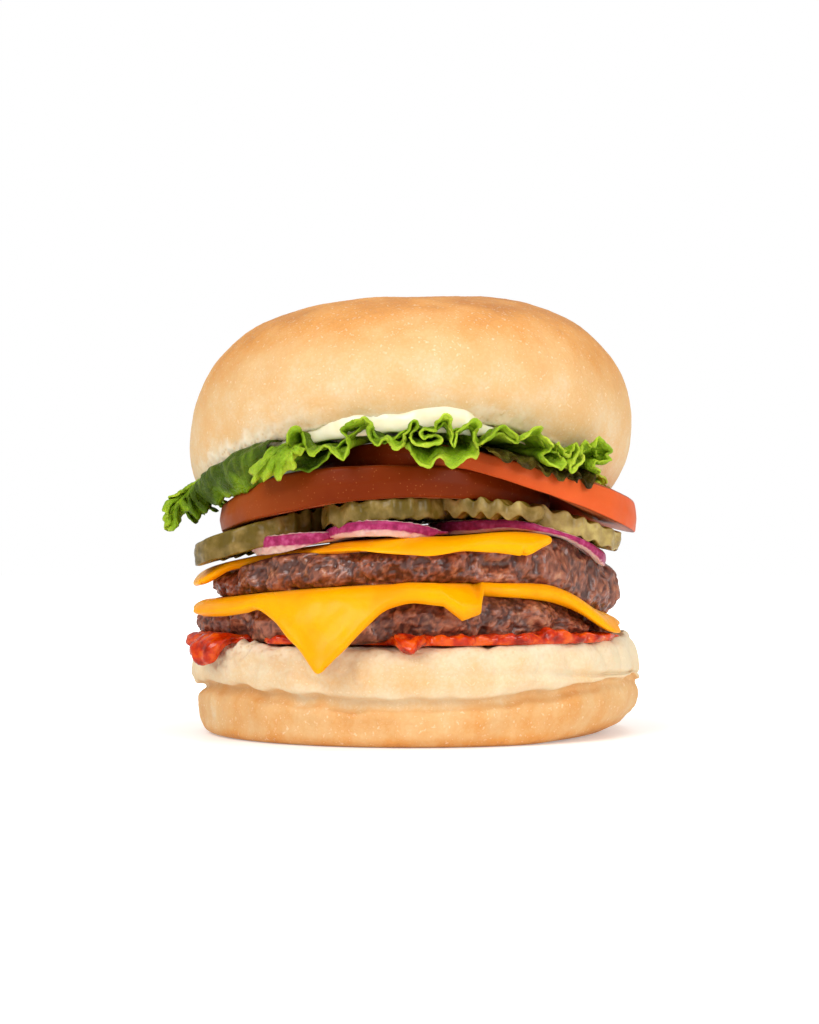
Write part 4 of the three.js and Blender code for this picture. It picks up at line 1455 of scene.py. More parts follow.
@dataclass
class TomatoSlice(Layer):
    """A thick slice of tomato, a little out of round, with a taut wall that stands out half way up.

    One rests on another, and past its rim is cut thicker to reach what lies below.
    """

    name: str
    node: str
    x: float
    y: float
    radius: float
    bottom: float
    thickness: float
    seed: float
    finish: RipeTomato
    brims: tuple[Swell, ...]
    rest: TomatoSlice | None = None
    flare: float = 0.5
    uneven: float = 0.008

    def profile(self) -> Profile:
        """Draws the slice's section.

        Returns:
            Points of radius and height.
        """
        full, thick = self.radius, self.thickness
        return [
            (0, 0), (full * 0.4, 0), (full * 0.84, 0), (full, 0), (full + self.flare, thick / 2),
            (full, thick), (full * 0.84, thick), (full * 0.4, thick), (0, thick),
        ]

    def sole(self, x: Array, y: Array) -> Array:
        """How far the underside comes down past the rim of the slice it rests on.

        Args:
            x: place to the right.
            y: place to the back.

        Returns:
            How much lower it lies there, in mm.
        """
        if self.rest is None:
            return np.zeros_like(x)
        past = np.hypot(x - self.rest.x, y - self.rest.y) - self.rest.radius
        return 5.6 * smoothstep(past, 0, 12.5)

    def shape(self) -> Patch:
        """Shapes the slice and puts it in its place.

        Returns:
            The closed patch.
        """
        patch = turned(stations(rounded(self.profile(), 0.55), 0.4, self.radius * 0.6, 2.0), 420)
        x, y, z = np.moveaxis(patch.points, -1, 0)
        angle = np.arctan2(y, x)
        out = 1 + self.uneven * (np.cos(2 * angle + self.seed) + 0.6 * np.cos(3 * angle + 2 * self.seed))
        inset = np.maximum(self.radius - np.hypot(x, y), 0)
        wall = 1 - smoothstep(inset, 0.05, 0.3)
        x, y = x * out, y * out
        z = z - self.sole(self.x + x, self.y + y) * (1 - z / self.thickness)
        full = total(self.brims, bearing_of(self.x + x, self.y + y)) * smoothstep(inset, self.radius * 0.4, 0)
        z = z + full * z / self.thickness
        cut = Patch(np.stack([x, y, z], -1), {"inset": inset, "wall": wall}, closed=True)
        skin = 0.12 * GRAIN.waves(cut.points, 5, self.seed)
        skin = skin + 0.04 * GRAIN.waves(cut.points, 1.8, self.seed + 1)
        return placed(cut.raised(skin), self.x, self.y, self.bottom)


@dataclass
class PickleSlice(Layer):
    """A crinkle-cut slice of pickle: both faces follow the same waves.

    The waves fade by the share `smooth` towards the direction `side`, in radians from the slice's own +X.
    """

    name: str
    node: str
    x: float
    y: float
    radius: float
    ridges: float
    thickness: float = 3.6
    lean: float = 0.0
    bottom: float = 47.4
    wave_height: float = 0.7
    wave_length: float = 3.9
    smooth: float = 0.0
    side: float = 0.0
    finish: PickledCucumber = PickledCucumber("crinkle_cut_pickle", "pickle")

    def shape(self) -> Patch:
        """Shapes the slice and puts it in its place.

        Returns:
            The closed patch.
        """
        low, high = self.wave_height, self.wave_height + self.thickness
        section = [
            (0, low), (self.radius * 0.5, low), (self.radius, low), (self.radius + 0.3, (low + high) / 2),
            (self.radius, high), (self.radius * 0.5, high), (0, high),
        ]
        patch = turned(stations(rounded(section, 0.55), 0.3, self.radius * 0.45, 1.2), 230)
        x, y, z = np.moveaxis(patch.points, -1, 0)
        inset = np.maximum(self.radius - np.hypot(x, y), 0)
        wall = 1 - smoothstep(inset, 0.05, 0.4)
        drift = 1.1 * GRAIN.waves(patch.points * [1, 0.3, 0] + [self.x, self.y, 0], 9, self.ridges)
        crest = np.sin(2 * math.pi * (x + drift) / self.wave_length + math.pi / 4)
        uneven = 1 + 0.5 * GRAIN.waves(patch.points * [1, 0.3, 0] + [self.y, self.x, 0], 7, self.ridges + 1)
        spread = 1 - self.smooth * smoothstep(x * math.cos(self.side) + y * math.sin(self.side), -4, 8)
        wave = self.wave_height * crest * uneven * spread
        limp = 0.3 * GRAIN.waves(patch.points + [self.x, self.y, 0], 9, 6)
        z = z + wave + limp
        pinch = 1 + 0.02 * crest * wall
        cut = Patch(np.stack([x * pinch, y * pinch, z], -1), {"inset": inset, "wall": wall}, closed=True)
        skin = 0.2 * GRAIN.waves(cut.points, 3.4, self.ridges)
        skin = skin + 0.07 * GRAIN.waves(cut.points, 1.3, self.ridges)
        x, y, z = np.moveaxis(cut.raised(skin * (0.4 + 0.6 * wall)).points, -1, 0)
        turn = math.radians(self.ridges)
        spun = [x * math.cos(turn) - y * math.sin(turn), x * math.sin(turn) + y * math.cos(turn), z]
        return placed(Patch(np.stack(spun, -1), cut.values, True), self.x, self.y, self.bottom, self.lean)


# ---- Lettuce and mayonnaise ----


Station = tuple[float, float, float]  # a point of a leaf's margin: bearing, distance from the axis and height

# Where the left leaf curls over and catches the light, and how wide the curl is, in degrees.
CURL_AT = -77
CURL_WIDTH = 5


def flowing(points: list[Station], spacing: float) -> Array:
    """A smooth curve through points, with even spacing.

    Args:
        points: bearings in degrees, distances from the axis and heights.
        spacing: distance between the points returned, in mm.

    Returns:
        Points of bearing, distance and height.
    """
    curve = smooth_curve(np.array(points, float), 24)
    steps = np.linalg.norm(np.diff(curve * [MM_PER_DEGREE, 1, 1], axis=0), axis=1)
    place = np.concatenate([[0], np.cumsum(steps)])
    wanted = np.linspace(0, place[-1], math.ceil(place[-1] / spacing) + 1)
    return np.stack([np.interp(wanted, place, curve[:, n]) for n in range(3)], -1)


def evened(values: Array, spread: int) -> Array:
    """Averages values along a line.

    Args:
        values: one value for each point of the line.
        spread: about how many neighbours count on each side.

    Returns:
        The averages.
    """
    weights = bell(np.arange(-3 * spread, 3 * spread + 1), spread)
    padded = np.pad(values, 3 * spread, mode="edge")
    return np.convolve(padded, weights / weights.sum(), mode="valid")


def ruffle(
    start: float, end: float, folds: int, reach: float, level: float, depth: float, seed: int
) -> list[Station]:
    """A margin that folds to and fro like a ruffle.

    Args:
        start: first bearing.
        end: last bearing.
        folds: number of folds.
        reach: distance of the margin from the axis.
        level: its middle height over the axis.
        depth: how far it rises and falls.
        seed: picks the sizes of the folds.

    Returns:
        The margin's points.
    """
    source = np.random.RandomState(seed)
    width = (end - start) / folds
    margin: list[Station] = []
    for fold in range(folds):
        size, out, lift = source.uniform(0.6, 1.25), source.uniform(-0.6, 1.2), source.uniform(-1.2, 1.2)
        for turn in np.linspace(0, 2 * math.pi, 6, endpoint=False):
            bearing = start + width * (fold + turn / (2 * math.pi)) + 0.3 * width * math.sin(2 * turn + 0.4)
            sag = SAG * (52 * math.sin(math.radians(bearing))) ** 2 * (level - HEEL_TOP)
            height = level - sag + lift + depth * size * math.sin(turn)
            margin.append((bearing, reach + out - 1.1 * math.cos(turn) * size, height))
    return margin


@dataclass
class Blade:
    """One ruffled flap of a leaf, given by the run of its margin."""

    margin: list[Station]
    bronze: float = 0.0
    # painted shade: how much darker the flap's green is drawn where it lies in shadow
    deep: float = 0.0
    fold: float = 52.0  # distance from the axis at which the flap bends
    inner: float = 30.0  # distance at which it starts
    follow: float = 0.45  # how far the bend rises and falls with the margin
    rise: float = 0.8
    crest: tuple[tuple[float, float], ...] = ()  # bearings and heights of the flap's top, where it is known
    teeth: float = 0.42
    smooth: int = 1
    gathered: float = 0.0  # how far the bend is drawn together to one bearing
    gathered_at: float = 0.0


@dataclass
class LettuceLeaf(Layer):
    """A frilled leaf that lies on the tomato, comes out under the crown, and rises or falls from there."""

    name: str
    node: str
    blades: list[Blade]
    seed: float
    level: float = 65.45
    thickness: float = 0.42
    spacing: float = 0.42
    finish: LeafLettuce = LeafLettuce("leaf_lettuce", "lettuce")

    def sheet(self, blade: Blade) -> tuple[Array, dict[str, Array]]:
        """The surface half way through a flap.

        Args:
            blade: the flap.

        Returns:
            Its points, and the values its surface carries.
        """
        line = flowing(blade.margin, self.spacing)
        bearing, reach, height = line.T
        out = np.concatenate([np.linspace(0, 0.5, 7)[:-1], np.linspace(0.5, 1, 34)])[:, None]

        def point(at: Array, distance: Array, up: Array) -> Array:
            """A place from its bearing, distance and height."""
            return np.stack([distance * np.sin(np.radians(at)), -distance * np.cos(np.radians(at)), up], -1)

        root_bearing, fold_bearing = evened(bearing, 22), evened(bearing, 7)
        fold_bearing = mix(fold_bearing, blade.gathered_at, blade.gathered)
        root = point(root_bearing, np.full_like(bearing, blade.inner), height)
        root[:, 2] = settled_height(root[:, 0], np.full_like(bearing, self.level))
        smooth = blade.smooth
        edge = point(evened(bearing, smooth), evened(reach, smooth), evened(height, smooth))
        if blade.crest:
            top = np.interp(fold_bearing, *np.array(blade.crest).T)
            fold = 2 * point(fold_bearing, np.full_like(bearing, blade.fold), top) - (root + edge) / 2
        else:
            fold = point(fold_bearing, np.minimum(blade.fold, reach - 0.3), height)
            level = settled_height(fold[:, 0], np.full_like(bearing, self.level))
            fold[:, 2] = level + blade.rise + blade.follow * (evened(height, 5) - level)
        weights = (1 - out) ** 2, 2 * out * (1 - out), out**2
        place = sum(weight[..., None] * row for weight, row in zip(weights, (root, fold, edge)))
        place = place + (point(bearing, reach, height) - edge) * (out ** (2 + 0.3 * smooth))[..., None]
        length = np.arange(len(bearing)) * self.spacing + 0 * out
        growth = np.stack([length, out * 26 + 0 * length, np.full_like(length, self.seed * 7.0)], -1)
        free = smoothstep(out, 0.55, 1.0)[..., None]
        teeth = np.stack([GRAIN.waves(growth * [1, 0.25, 1], 1.9, self.seed + n) for n in range(3)], -1)
        place = place + free * teeth * blade.teeth
        blister = 0.55 * GRAIN.waves(growth, 4.6, self.seed + 6)
        blister = blister + 0.3 * GRAIN.waves(growth, 2.6, self.seed + 4)
        blister = blister + 0.12 * GRAIN.waves(growth, 1.2, self.seed + 5)
        rib = bell(GRAIN.waves(growth * [1, 0.16, 1], 4.2, self.seed + 2), 0.07)
        bulge = Patch(place).normals() * (blister - 0.08 * rib)[..., None]
        place = place + bulge * smoothstep(out, 0.3, 0.6)[..., None]
        margin = out + 0 * length
        # painted shade "deep" for the blade, lifted where the left leaf curls over into the light
        shaded = 1 - 0.9 * bell(bearing - CURL_AT, CURL_WIDTH) + 0 * margin
        tints = {"bronze": np.full_like(margin, blade.bronze), "deep": blade.deep * shaded}
        return place, {"margin": margin, "rib": rib * (1 - margin**6)} | tints

    def patches(self) -> list[Patch]:
        """Shapes both faces of each flap, which meet in its thin edge.

        Returns:
            The faces.
        """
        made = []
        for blade in self.blades:
            place, values = self.sheet(blade)
            rows, columns = values["margin"].shape
            normal = Patch(place).normals()
            row, column = np.indices((rows, columns))
            border = np.minimum(np.minimum(row, rows - 1 - row), np.minimum(column, columns - 1 - column))
            half = (0.5 * self.thickness * np.sqrt(np.clip(border / 2, 0, 1)))[..., None]
            made += [Patch(place + normal * half, values), Patch(place - normal * half, values).reversed()]
        return made


@dataclass
class MayonnaiseLayer(Layer):
    """Mayonnaise on the cut face of the crown, squeezed out to a thick lip of two lobes along the front."""

    crown: CrownBun
    radius: float = 45.2
    thickness: float = 1.6
    front: Swell = Swell(-8, 34, 1.0)
    lobes: tuple[Swell, ...] = (
        Swell(8, 9, 1.0, Form.FULL), Swell(-14, 11, 0.62, Form.FULL), Swell(-50, 12, 0.3),
    )
    name: str = "mayonnaise_layer"
    node: str = "mayonnaise"
    finish: Mayonnaise = Mayonnaise("whipped_mayonnaise", "mayonnaise")

    def shape(self) -> Patch:
        """Shapes the layer with its lip, which swells up over the rim of the crown.

        Returns:
            The closed patch.
        """
        full, thick = self.radius, self.thickness
        section = [
            (0, 0), (19, 0), (34, 0), (42.5, 0), (full, 0), (full, thick), (42.5, thick), (34, thick),
            (19, thick), (0, thick),
        ]
        patch = turned(stations(rounded(section, 0.8), 0.2, 38, 4.0), 520)
        x, y, z = np.moveaxis(patch.points, -1, 0)
        share, bearing = np.hypot(x, y) / full, bearing_of(x, y)
        lobe = total(self.lobes, bearing)
        lip = self.front.at(bearing)
        uneven = 0.5 * np.sin(np.radians(7 * bearing)) + 0.9 * GRAIN.waves(patch.points * [1, 1, 0], 5, 4)
        reach = share * full + (3.0 * lip + uneven * 0.7 + 1.5 * lobe) * smoothstep(share, 0.7, 1)
        hang = (lip + 0.4 * lobe) / thick * smoothstep(share, 0.7, 0.95)
        scale = reach / np.hypot(x, y)
        x, y = x * scale, y * scale
        swell = 2.3 * lobe * smoothstep(reach, 46.3, 48.6) + 0.5 * smoothstep(reach, 45.5, 47)
        height = self.crown.underside(x, y) - GAP - (thick - z) * (1 + hang) + z / thick * swell
        spread = Patch(np.stack([x, y, height], -1), closed=True)
        folds = 0.25 * GRAIN.rough(spread.points, 4.5, 2, 2) * smoothstep(share, 0.85, 0.97)
        return spread.raised(folds)


# ---- Margins of the leaves, from the left round to the right ----


LEFT_MARGIN: list[Station] = [
    (-73.6, 49.6, 57.8), (-73.4, 52.6, 55.1), (-76.7, 56.4, 53.3), (-79.4, 54.4, 51.8), (-78.1, 58.1, 50.7),
    (-74.7, 56.9, 49.3), (-79, 57.6, 48.2), (-75.6, 56.3, 47.5), (-77.9, 57.2, 45.9), (-74.1, 54.8, 46.3),
    (-78.1, 53.3, 49.1), (-72.3, 52.6, 50.4), (-75.2, 51, 50.2), (-70.4, 50.7, 48.3), (-74.7, 49.2, 51.5),
    (-68.6, 49.3, 49.9), (-69.5, 48.6, 52.6), (-62.9, 48.4, 51.8), (-58.5, 47.9, 53.5), (-52.9, 48, 53.6),
    (-47.2, 48.5, 54.4), (-44, 48, 55.6), (-40, 48, 57), (-36, 49, 59),
]
FRILL_MARGIN: list[Station] = [
    (-39.6, 51.6, 59.4), (-41, 53, 58.5), (-39.4, 53.6, 57.2), (-38.8, 54, 55.6), (-36.8, 53.6, 57),
    (-34.8, 54.8, 55.9), (-32.8, 54, 57.4), (-31, 55, 56.3), (-29.4, 54, 58), (-26.8, 54.8, 58.5),
    (-28.4, 53, 60.1), (-26, 53.6, 61.3), (-25, 52, 63),
]
FRONT_MARGIN: list[Station] = [
    (-29.4, 51, 63.1), (-29.8, 54, 63.8), (-29.2, 54, 66.4), (-27.8, 53, 67.4), (-27.2, 51.5, 66.2),
    (-26.4, 51.5, 63.5), (-23.9, 53.5, 61.4), (-22.7, 53, 61.4), (-21.9, 51.5, 63.2), (-19.5, 52.5, 62.5),
    (-17.1, 53.5, 60.9), (-15.5, 53.5, 60.3), (-14.9, 52.5, 62.4), (-15.7, 51.5, 65), (-17.2, 52, 66.4),
    (-14.9, 52.5, 67.6), (-12.9, 53, 68.4), (-11.1, 53.5, 69.4), (-10.8, 53, 68.4), (-9.3, 53.5, 67.7),
    (-10.4, 52.5, 66.5), (-9.9, 52, 64.7), (-8.3, 53, 63.4), (-7, 52.5, 64), (-6.2, 52, 64.9),
    (-5.1, 53, 63.6), (-3.3, 53.5, 62.3), (-2.2, 52.5, 63.6), (-2.5, 51.5, 65.3), (-1.3, 52.5, 66.9),
    (0.3, 53.5, 68.5), (0.9, 52.5, 67.3), (-0.2, 52, 65.9), (-0.9, 53.5, 64.6), (0.5, 54.5, 63.1),
    (2.8, 55, 62.6), (5, 54.5, 63.1), (6.7, 53.5, 64.2), (5.5, 52, 65.3), (3.6, 53, 65), (2.2, 54, 64.5),
    (1.4, 53.5, 65.8), (2.5, 53, 66.9), (3.9, 52.5, 66.1), (5.3, 52, 66.3), (4.8, 52, 68), (6.1, 53, 69.1),
    (7.4, 53, 69.6), (8.7, 52.5, 68.6), (8.4, 51.5, 67), (9.2, 52, 65.3), (8.6, 54, 62.7),
    (9.8, 53.5, 64.4), (9.9, 52, 66.1), (11.2, 52.5, 67.1), (12.9, 53, 68.2), (14.6, 53.5, 68.6),
    (15.3, 53, 67.4), (14.4, 52, 65.8), (14.3, 51.5, 63.7), (15.2, 52.5, 62.2),
]
APRON_MARGIN: list[Station] = [
    (-2.1, 50, 63.9), (-1.6, 52, 62.6), (-0.2, 53.5, 61), (1.3, 54.5, 58.9), (3.2, 55, 57.9),
    (4.4, 54, 59.4), (5.9, 53, 60.5), (6.9, 53.5, 59.8), (7.6, 54.5, 58.7), (9.2, 54.5, 58.5),
    (11, 53.5, 59.8), (12.7, 54, 60.5), (14.3, 54, 60.5), (15.1, 52, 62.4), (15.3, 50, 64),
]
FRONT_BACKING: list[Station] = [
    (-38, 49, 61), (-33, 49.4, 58.8), (-29, 49.6, 58), (-25, 49.8, 58.2), (-22, 50, 60), (-19.5, 51, 62.2),
    (-16.5, 51, 64.2), (-14, 51, 66.6), (-11.4, 51, 67.6), (-9.6, 51, 66), (-7.5, 51, 64.2), (-4.5, 51, 64),
    (-2, 51, 66), (0.4, 51, 67), (2.5, 51, 66.4), (5, 51, 67), (7.4, 51, 68.2), (9.6, 51, 66.6),
    (12, 51, 67.2), (14.2, 51, 67.4), (15.4, 50.5, 65), (16.5, 50, 63.4),
]
RIGHT_BACKING: list[Station] = [
    (15, 50, 62.8), (17.5, 51, 64.6), (20, 51, 66.2), (23, 51, 65.4), (25.6, 51, 64), (28, 51, 65.8),
    (30.6, 51, 66.2), (32.6, 51, 64.4), (35, 51, 62.6), (38, 51, 62.6), (40.6, 51, 63), (43.4, 51, 62),
    (46.4, 51, 63), (49.4, 51.4, 64), (52, 51, 62.4), (54, 50, 60.5),
]
RIGHT_MARGIN: list[Station] = [
    (16.1, 50.5, 63.3), (17.1, 52, 64.5), (18.6, 53, 66.6), (20.1, 53.5, 67.6), (22.3, 53, 67.1),
    (24, 52.5, 65.9), (25.4, 51.5, 64.5), (26.1, 53, 65.3), (27.8, 53.5, 66.8), (29.2, 53.5, 67.4),
    (30.9, 53, 67.7), (31.3, 52, 66.1), (31.9, 53.5, 65.2), (33.8, 53.5, 64.2), (34.1, 52.5, 62.7),
    (30.9, 53, 61.6), (30.6, 54.5, 60.1), (32.4, 55, 58.6), (35.5, 54.5, 58.7), (37.3, 53.5, 60.2),
    (37.1, 51.5, 61.8), (36.2, 51.5, 63.5), (36, 53, 64.5), (37.4, 52.5, 63), (39.8, 52, 61.6),
    (40.6, 52.5, 62.9), (40.4, 53.5, 64.6), (42, 53, 62.5), (39.8, 53.5, 60.1), (37.9, 54.5, 58.1),
    (40.6, 54, 58.8), (43.1, 53.5, 60.8), (44.5, 51.5, 63.3), (45.4, 52.5, 65.2), (47.6, 52.5, 63.8),
    (48.1, 53.5, 65.9), (49.7, 54, 65.3), (52.1, 53.5, 64.1), (53.5, 54, 63.3), (52.1, 53, 62.6),
    (52.6, 54, 60.9), (50.4, 53, 60.4), (48.7, 52, 61.2), (47.6, 52.5, 59), (49.6, 53, 58.4),
]
BRONZE_MARGIN: list[Station] = [
    (18.6, 49.5, 62.2), (20.7, 51, 61.3), (22.5, 52, 60), (25.5, 50.5, 60.8), (26.4, 52, 59.2),
    (28.5, 52.5, 58.4), (30.7, 51, 60.2), (31.6, 52, 58.5), (32.8, 53, 57), (36.2, 51.5, 58.4),
    (36.6, 53, 56.2), (40.7, 51.5, 57.8), (41, 53, 55.7), (45.2, 51.5, 57.3), (45.1, 53, 54.9),
    (48.4, 52.5, 56.3), (49.1, 51.5, 58.2), (50.8, 52.5, 58.9),
]
# The top of the left leaf as bearing and height.
LEFT_CREST = (
    (-152, 62.8), (-120, 56.5), (-92, 55.2), (-80, 55.4), (-75, 55.9), (-65, 58.6), (-56, 60.9), (-49, 62.7),
    (-42.7, 64.0), (-37.5, 64.5), (-32.8, 64.0), (-28, 63.4),
)
FRILL_CREST = ((-46, 63.6), (-32.8, 64.0), (-28, 63.6), (-23, 63.2))


# ---- The burger ----


@dataclass
class Filling:
    """Everything between the two halves of the bun, from the ketchup up to the mayonnaise."""

    crown: CrownBun
    lower_patty: BeefPatty = field(
        default_factory=lambda: BeefPatty(
            "beef_lower", "patty_lower", x=-1.6, radius=49.0, bottom=23.0, top=31.9, seed=4, sear=0.35,
            skirts=(Swell(-27, 22, 1.5, Form.FULL),),
        )
    )
    upper_patty: BeefPatty = field(
        default_factory=lambda: BeefPatty(
            "beef_upper", "patty_upper", x=0.3, radius=46.8, bottom=34.7, top=41.7, seed=8, sear=0.7,
            brims=(Swell(-42, 15, 1.4), Swell(50, 18, 1.5)),
            finish=SearedMince("basted_ground_beef", "patty", 0.6),
        )
    )

    def cheese(self) -> list[CheeseSlice]:
        """Lays out the two cheese slices, each on its patty.

        Returns:
            The lower slice and the upper one.
        """
        lower = CheeseSlice(
            "cheese_slice_lower", "cheese_lower", self.lower_patty, side=84, x=-8.1, y=-6.5, corner=-102.5,
            slope=66, slopes=[Swell(70, 25, 6)], rim=LOWER_CHEESE_RIM, seed=1,
            beads=[
                Swell(14, 4.5, 2.0), Swell(2, 9, 0.9), Swell(42, 16, 0.9), Swell(-50, 14, 1.3),
                Swell(-18, 9, -0.5),
            ],
        )
        upper = CheeseSlice(
            "cheese_slice_upper", "cheese_upper", self.upper_patty, side=77, x=0.6, y=0.5, corner=-64.7,
            slope=50, slopes=[Swell(33, 6, -40), Swell(22, 14, -8), Swell(-66, 30, -14)], seed=2,
            rim=UPPER_CHEESE_RIM, beads=[Swell(-6, 34, -1.2), Swell(24, 12, 0.3)],
        )
        return [lower, upper]

    def onions(self) -> list[OnionSlice]:
        """Lays out the onion slices, side by side on the upper cheese.

        Returns:
            The slices.
        """
        return [
            OnionSlice(
                "onion_slice_left", "onion_left", x=-22.8, y=-25.6, radius=12.8, bottom=43.2, seed=1,
                lip=[Swell(-50, 60, 0.2)], lean=6.5, thickness=4.0, band=2.5,
            ),
            OnionSlice(
                "onion_slice_middle", "onion_middle", x=-5.6, y=-33.6, radius=13.4, bottom=44.9, seed=2,
                lip=[Swell(-6, 17, 0.7)], lean=6, arch=1.3, curl=0.7, facing=-8,
            ),
            OnionSlice(
                "onion_slice_right", "onion_right", x=23.0, y=-17.4, radius=20.2, bottom=45.0, seed=4,
                lip=[Swell(8, 14, 1.5)], arch=2.6, crest=-9, curl=1.5, facing=18, sunk=2.4, thickness=2.8,
                band=2.3,
            ),
            OnionSlice(
                "onion_slice_back", "onion_back", x=0, y=28, radius=20, bottom=44.8, seed=5,
                lip=[Swell(180, 60, 0.4)], arch=0.3,
            ),
        ]

    def pickles(self) -> list[PickleSlice]:
        """Lays out the ring of pickle slices.

        Returns:
            The slices.
        """
        # painted light and shade: lit, half lit and shaded copies of one pickle finish; the two slices on the
        # left get the shaded one
        bright = PickledCucumber("pale_crinkle_cut_pickle", "pickle", bright=1.25)
        fresh = PickledCucumber("fresh_crinkle_cut_pickle", "pickle", bright=0.6)
        dark = PickledCucumber("dark_crinkle_cut_pickle", "pickle", bright=-0.8)
        return [
            PickleSlice(
                "pickle_slice_1", "pickle_1", x=-33, y=-19, radius=15, ridges=25, thickness=6.2, lean=-1.8,
                bottom=45.2, smooth=1.0, side=-2.9, finish=dark,
            ),
            PickleSlice(
                "pickle_slice_2", "pickle_2", x=-6.4, y=-32.2, radius=13.6, ridges=8, thickness=4.5,
                lean=-0.5, bottom=47.4, smooth=0.7, side=-0.6, finish=dark,
            ),
            PickleSlice(
                "pickle_slice_3", "pickle_3", x=16.4, y=-31, radius=11.8, ridges=-14, thickness=3.8,
                bottom=48.2, finish=fresh,
            ),
            PickleSlice(
                "pickle_slice_4", "pickle_4", x=31.2, y=-18.6, radius=14.2, ridges=18, thickness=6.4,
                lean=7, bottom=45.4, finish=bright,
            ),
            PickleSlice("pickle_slice_5", "pickle_5", x=33, y=19, radius=14, ridges=20, bottom=48.4),
            PickleSlice("pickle_slice_6", "pickle_6", x=9, y=35, radius=13.5, ridges=10, bottom=47.9),
            PickleSlice("pickle_slice_7", "pickle_7", x=-19.5, y=32, radius=14, ridges=-20, bottom=47.9),
            PickleSlice("pickle_slice_8", "pickle_8", x=-38.5, y=9.5, radius=12.6, ridges=80),
        ]

    def tomatoes(self) -> list[TomatoSlice]:
        """Lays out the two tomato slices, the right one over the left.

        Returns:
            The slices.
        """
        ripe = RipeTomato("ripe_sliced_tomato", "tomato")
        # painted shade: the left slice gets a darker copy of the finish, lit from its left
        shaded = RipeTomato(
            "soft_sliced_tomato", "tomato", deep="#742806", light="#a04a18", shaded_at=-18, sunny_at=-42
        )
        left = TomatoSlice(
            "tomato_slice_left", "tomato_left", x=-6.5, y=-9, radius=37.3, bottom=52.6, thickness=6.6,
            seed=3, finish=shaded, brims=(Swell(-38, 22, 2.0),),
        )
        right = TomatoSlice(
            "tomato_slice_right", "tomato_right", x=13.7, y=-8, radius=36.2, bottom=59.3, thickness=5.6,
            seed=6, finish=ripe, brims=(Swell(34, 25, -2.4),), rest=left,
        )
        return [left, right]

    def lettuce(self) -> list[LettuceLeaf]:
        """Lays out the leaves, round the whole rim.

        Returns:
            The leaves.
        """
        left = ruffle(-152, -92, folds=8, reach=50.6, level=64.0, depth=2.2, seed=3) + LEFT_MARGIN
        # painted shade: the outer left flap and the two backing flaps are drawn darker green through "deep"
        outer = Blade(left, deep=0.44, fold=50.2, crest=LEFT_CREST, teeth=0.5, smooth=12)
        frill = Blade(FRILL_MARGIN, fold=51.6, crest=FRILL_CREST, gathered=0.66, gathered_at=-27.5)
        back = Blade(ruffle(114, 204, folds=12, reach=50.6, level=63.6, depth=3.4, seed=5), fold=50.5)
        right = RIGHT_MARGIN + ruffle(58, 92, folds=5, reach=45.6, level=67.0, depth=0.8, seed=8)
        backing = Blade(FRONT_BACKING, deep=0.3, fold=49.0)
        front = [Blade(FRONT_MARGIN), Blade(APRON_MARGIN, fold=52.4), backing]
        bronzed = Blade(BRONZE_MARGIN, bronze=1.0, fold=48.6)
        behind = Blade(RIGHT_BACKING, deep=0.12, fold=49.0)
        return [
            LettuceLeaf("leaf_left", "lettuce_left", [outer, frill], 1),
            LettuceLeaf("leaf_front", "lettuce_front", front, 2),
            LettuceLeaf("leaf_right", "lettuce_right", [Blade(right), bronzed, behind], 3),
            LettuceLeaf("leaf_back", "lettuce_back", [back], 4),
        ]

    def build(self) -> list[bpy.types.Object]:
        """Makes every layer from the ketchup up.

        Returns:
            The new objects.
        """
        layers: list[Layer] = [KetchupLayer(), self.lower_patty, self.upper_patty]
        layers += [*self.cheese(), *self.onions(), *self.pickles(), *self.tomatoes(), *self.lettuce()]
        layers.append(MayonnaiseLayer(self.crown))
        return [layer.build() for layer in layers]


# ---- Studio ----


class Softness(Enum):
    """How large a lamp is for its distance, which sets how soft its shadows are."""

    BROAD = 1.0
    MEDIUM = 0.55


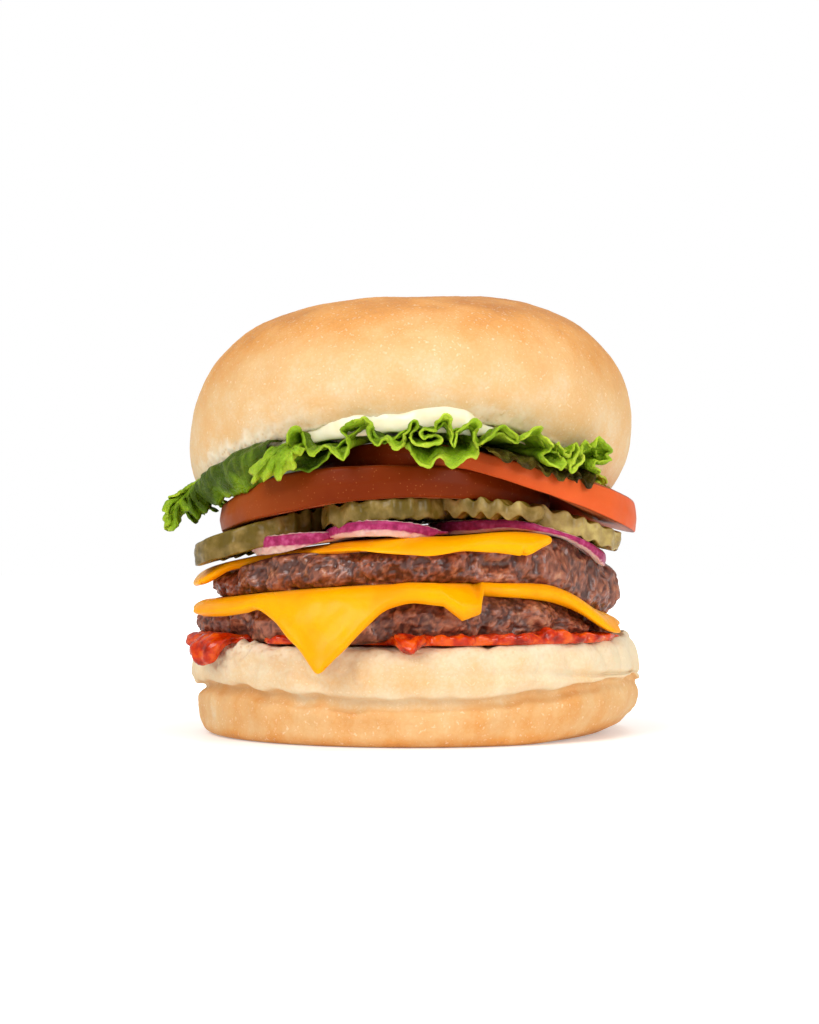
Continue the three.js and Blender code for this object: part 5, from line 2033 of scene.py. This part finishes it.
@dataclass
class Studio:
    """A plain pale floor under soft lamps, and the camera."""

    eye: tuple[float, float, float] = (-0.0008, -0.5, 0.0414)
    pitch: float = 1.03
    lens: float = 75.94
    floor_size: float = 6.0
    room: float = 0.5
    aim: tuple[float, float, float] = (0.0, 0.0, 0.05)
    sheet: BacklitAcrylic = BacklitAcrylic("backlit_white_acrylic", "floor")

    def camera(self) -> None:
        """Places the camera level with the filling, looking up by about a degree."""
        data = bpy.data.cameras.new("camera")
        data.sensor_fit = "VERTICAL"
        data.sensor_height = 36.0
        data.lens = self.lens
        data.clip_start = 0.01
        camera = bpy.data.objects.new("camera", data)
        camera.location = self.eye
        camera.rotation_euler = (math.radians(90 + self.pitch), 0, 0)
        bpy.context.scene.collection.objects.link(camera)
        bpy.context.scene.camera = camera

    def floor(self) -> None:
        """Lays the floor."""
        mesh = bpy.data.meshes.new("floor")
        half = self.floor_size / 2
        corners = [(-half, -half, 0), (half, -half, 0), (half, half, 0), (-half, half, 0)]
        mesh.from_pydata(corners, [], [(0, 1, 2, 3)])
        mesh.materials.append(self.sheet.material())
        floor = bpy.data.objects.new("floor", mesh)
        bpy.context.scene.collection.objects.link(floor)

    def lamp(self, name: str, place: tuple[float, float, float], watts: float, softness: Softness) -> None:
        """Hangs a soft white lamp that faces the burger.

        Args:
            name: the lamp's name.
            place: where it hangs, in metres.
            watts: its strength.
            softness: how large it is for its distance.
        """
        data = bpy.data.lights.new(name, "AREA")
        data.shape = "DISK"
        data.size = softness.value * math.dist(place, self.aim)
        data.energy = watts
        lamp = bpy.data.objects.new(name, data)
        lamp.location = place
        lamp.rotation_euler = (Vector(self.aim) - lamp.location).to_track_quat("-Z", "Y").to_euler()
        bpy.context.scene.collection.objects.link(lamp)

    def surroundings(self) -> None:
        """Puts a white backdrop round the burger that is bright to look at and lights it only softly."""
        world = bpy.data.worlds.new("white_backdrop")
        world.use_nodes = True
        tree = world.node_tree
        direct = add(tree, "LightPath").outputs["Is Camera Ray"]
        shade = add(tree, "MapRange", {"Value": direct, "To Min": self.room, "To Max": 1.0}).outputs["Result"]
        tree.links.new(shade, tree.nodes["Background"].inputs["Color"])
        bpy.context.scene.world = world

    def build(self) -> None:
        """Sets up the camera, the floor and the light."""
        self.camera()
        self.floor()
        self.surroundings()
        self.lamp("key", (-0.45, -0.7, 0.55), 4.6, Softness.MEDIUM)
        self.lamp("fill", (0.6, -0.65, 0.3), 3.0, Softness.MEDIUM)
        self.lamp("top", (0.1, 0.0, 0.9), 3.0, Softness.BROAD)
        bpy.context.scene.view_settings.view_transform = "Standard"
        log.info("studio: camera, floor, three lamps and a white backdrop")


def main() -> None:
    """Builds the burger and the studio."""
    logging.basicConfig(level=logging.INFO, format="%(name)s: %(message)s")
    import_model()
    Studio().build()
    crown = CrownBun()
    made = [HeelBun().build(), *Filling(crown).build(), crown.build()]
    faces = sum(len(layer.data.polygons) for layer in made)
    log.info("%d pieces, %d faces in all", len(made), faces)


if __name__ == "__main__":
    main()
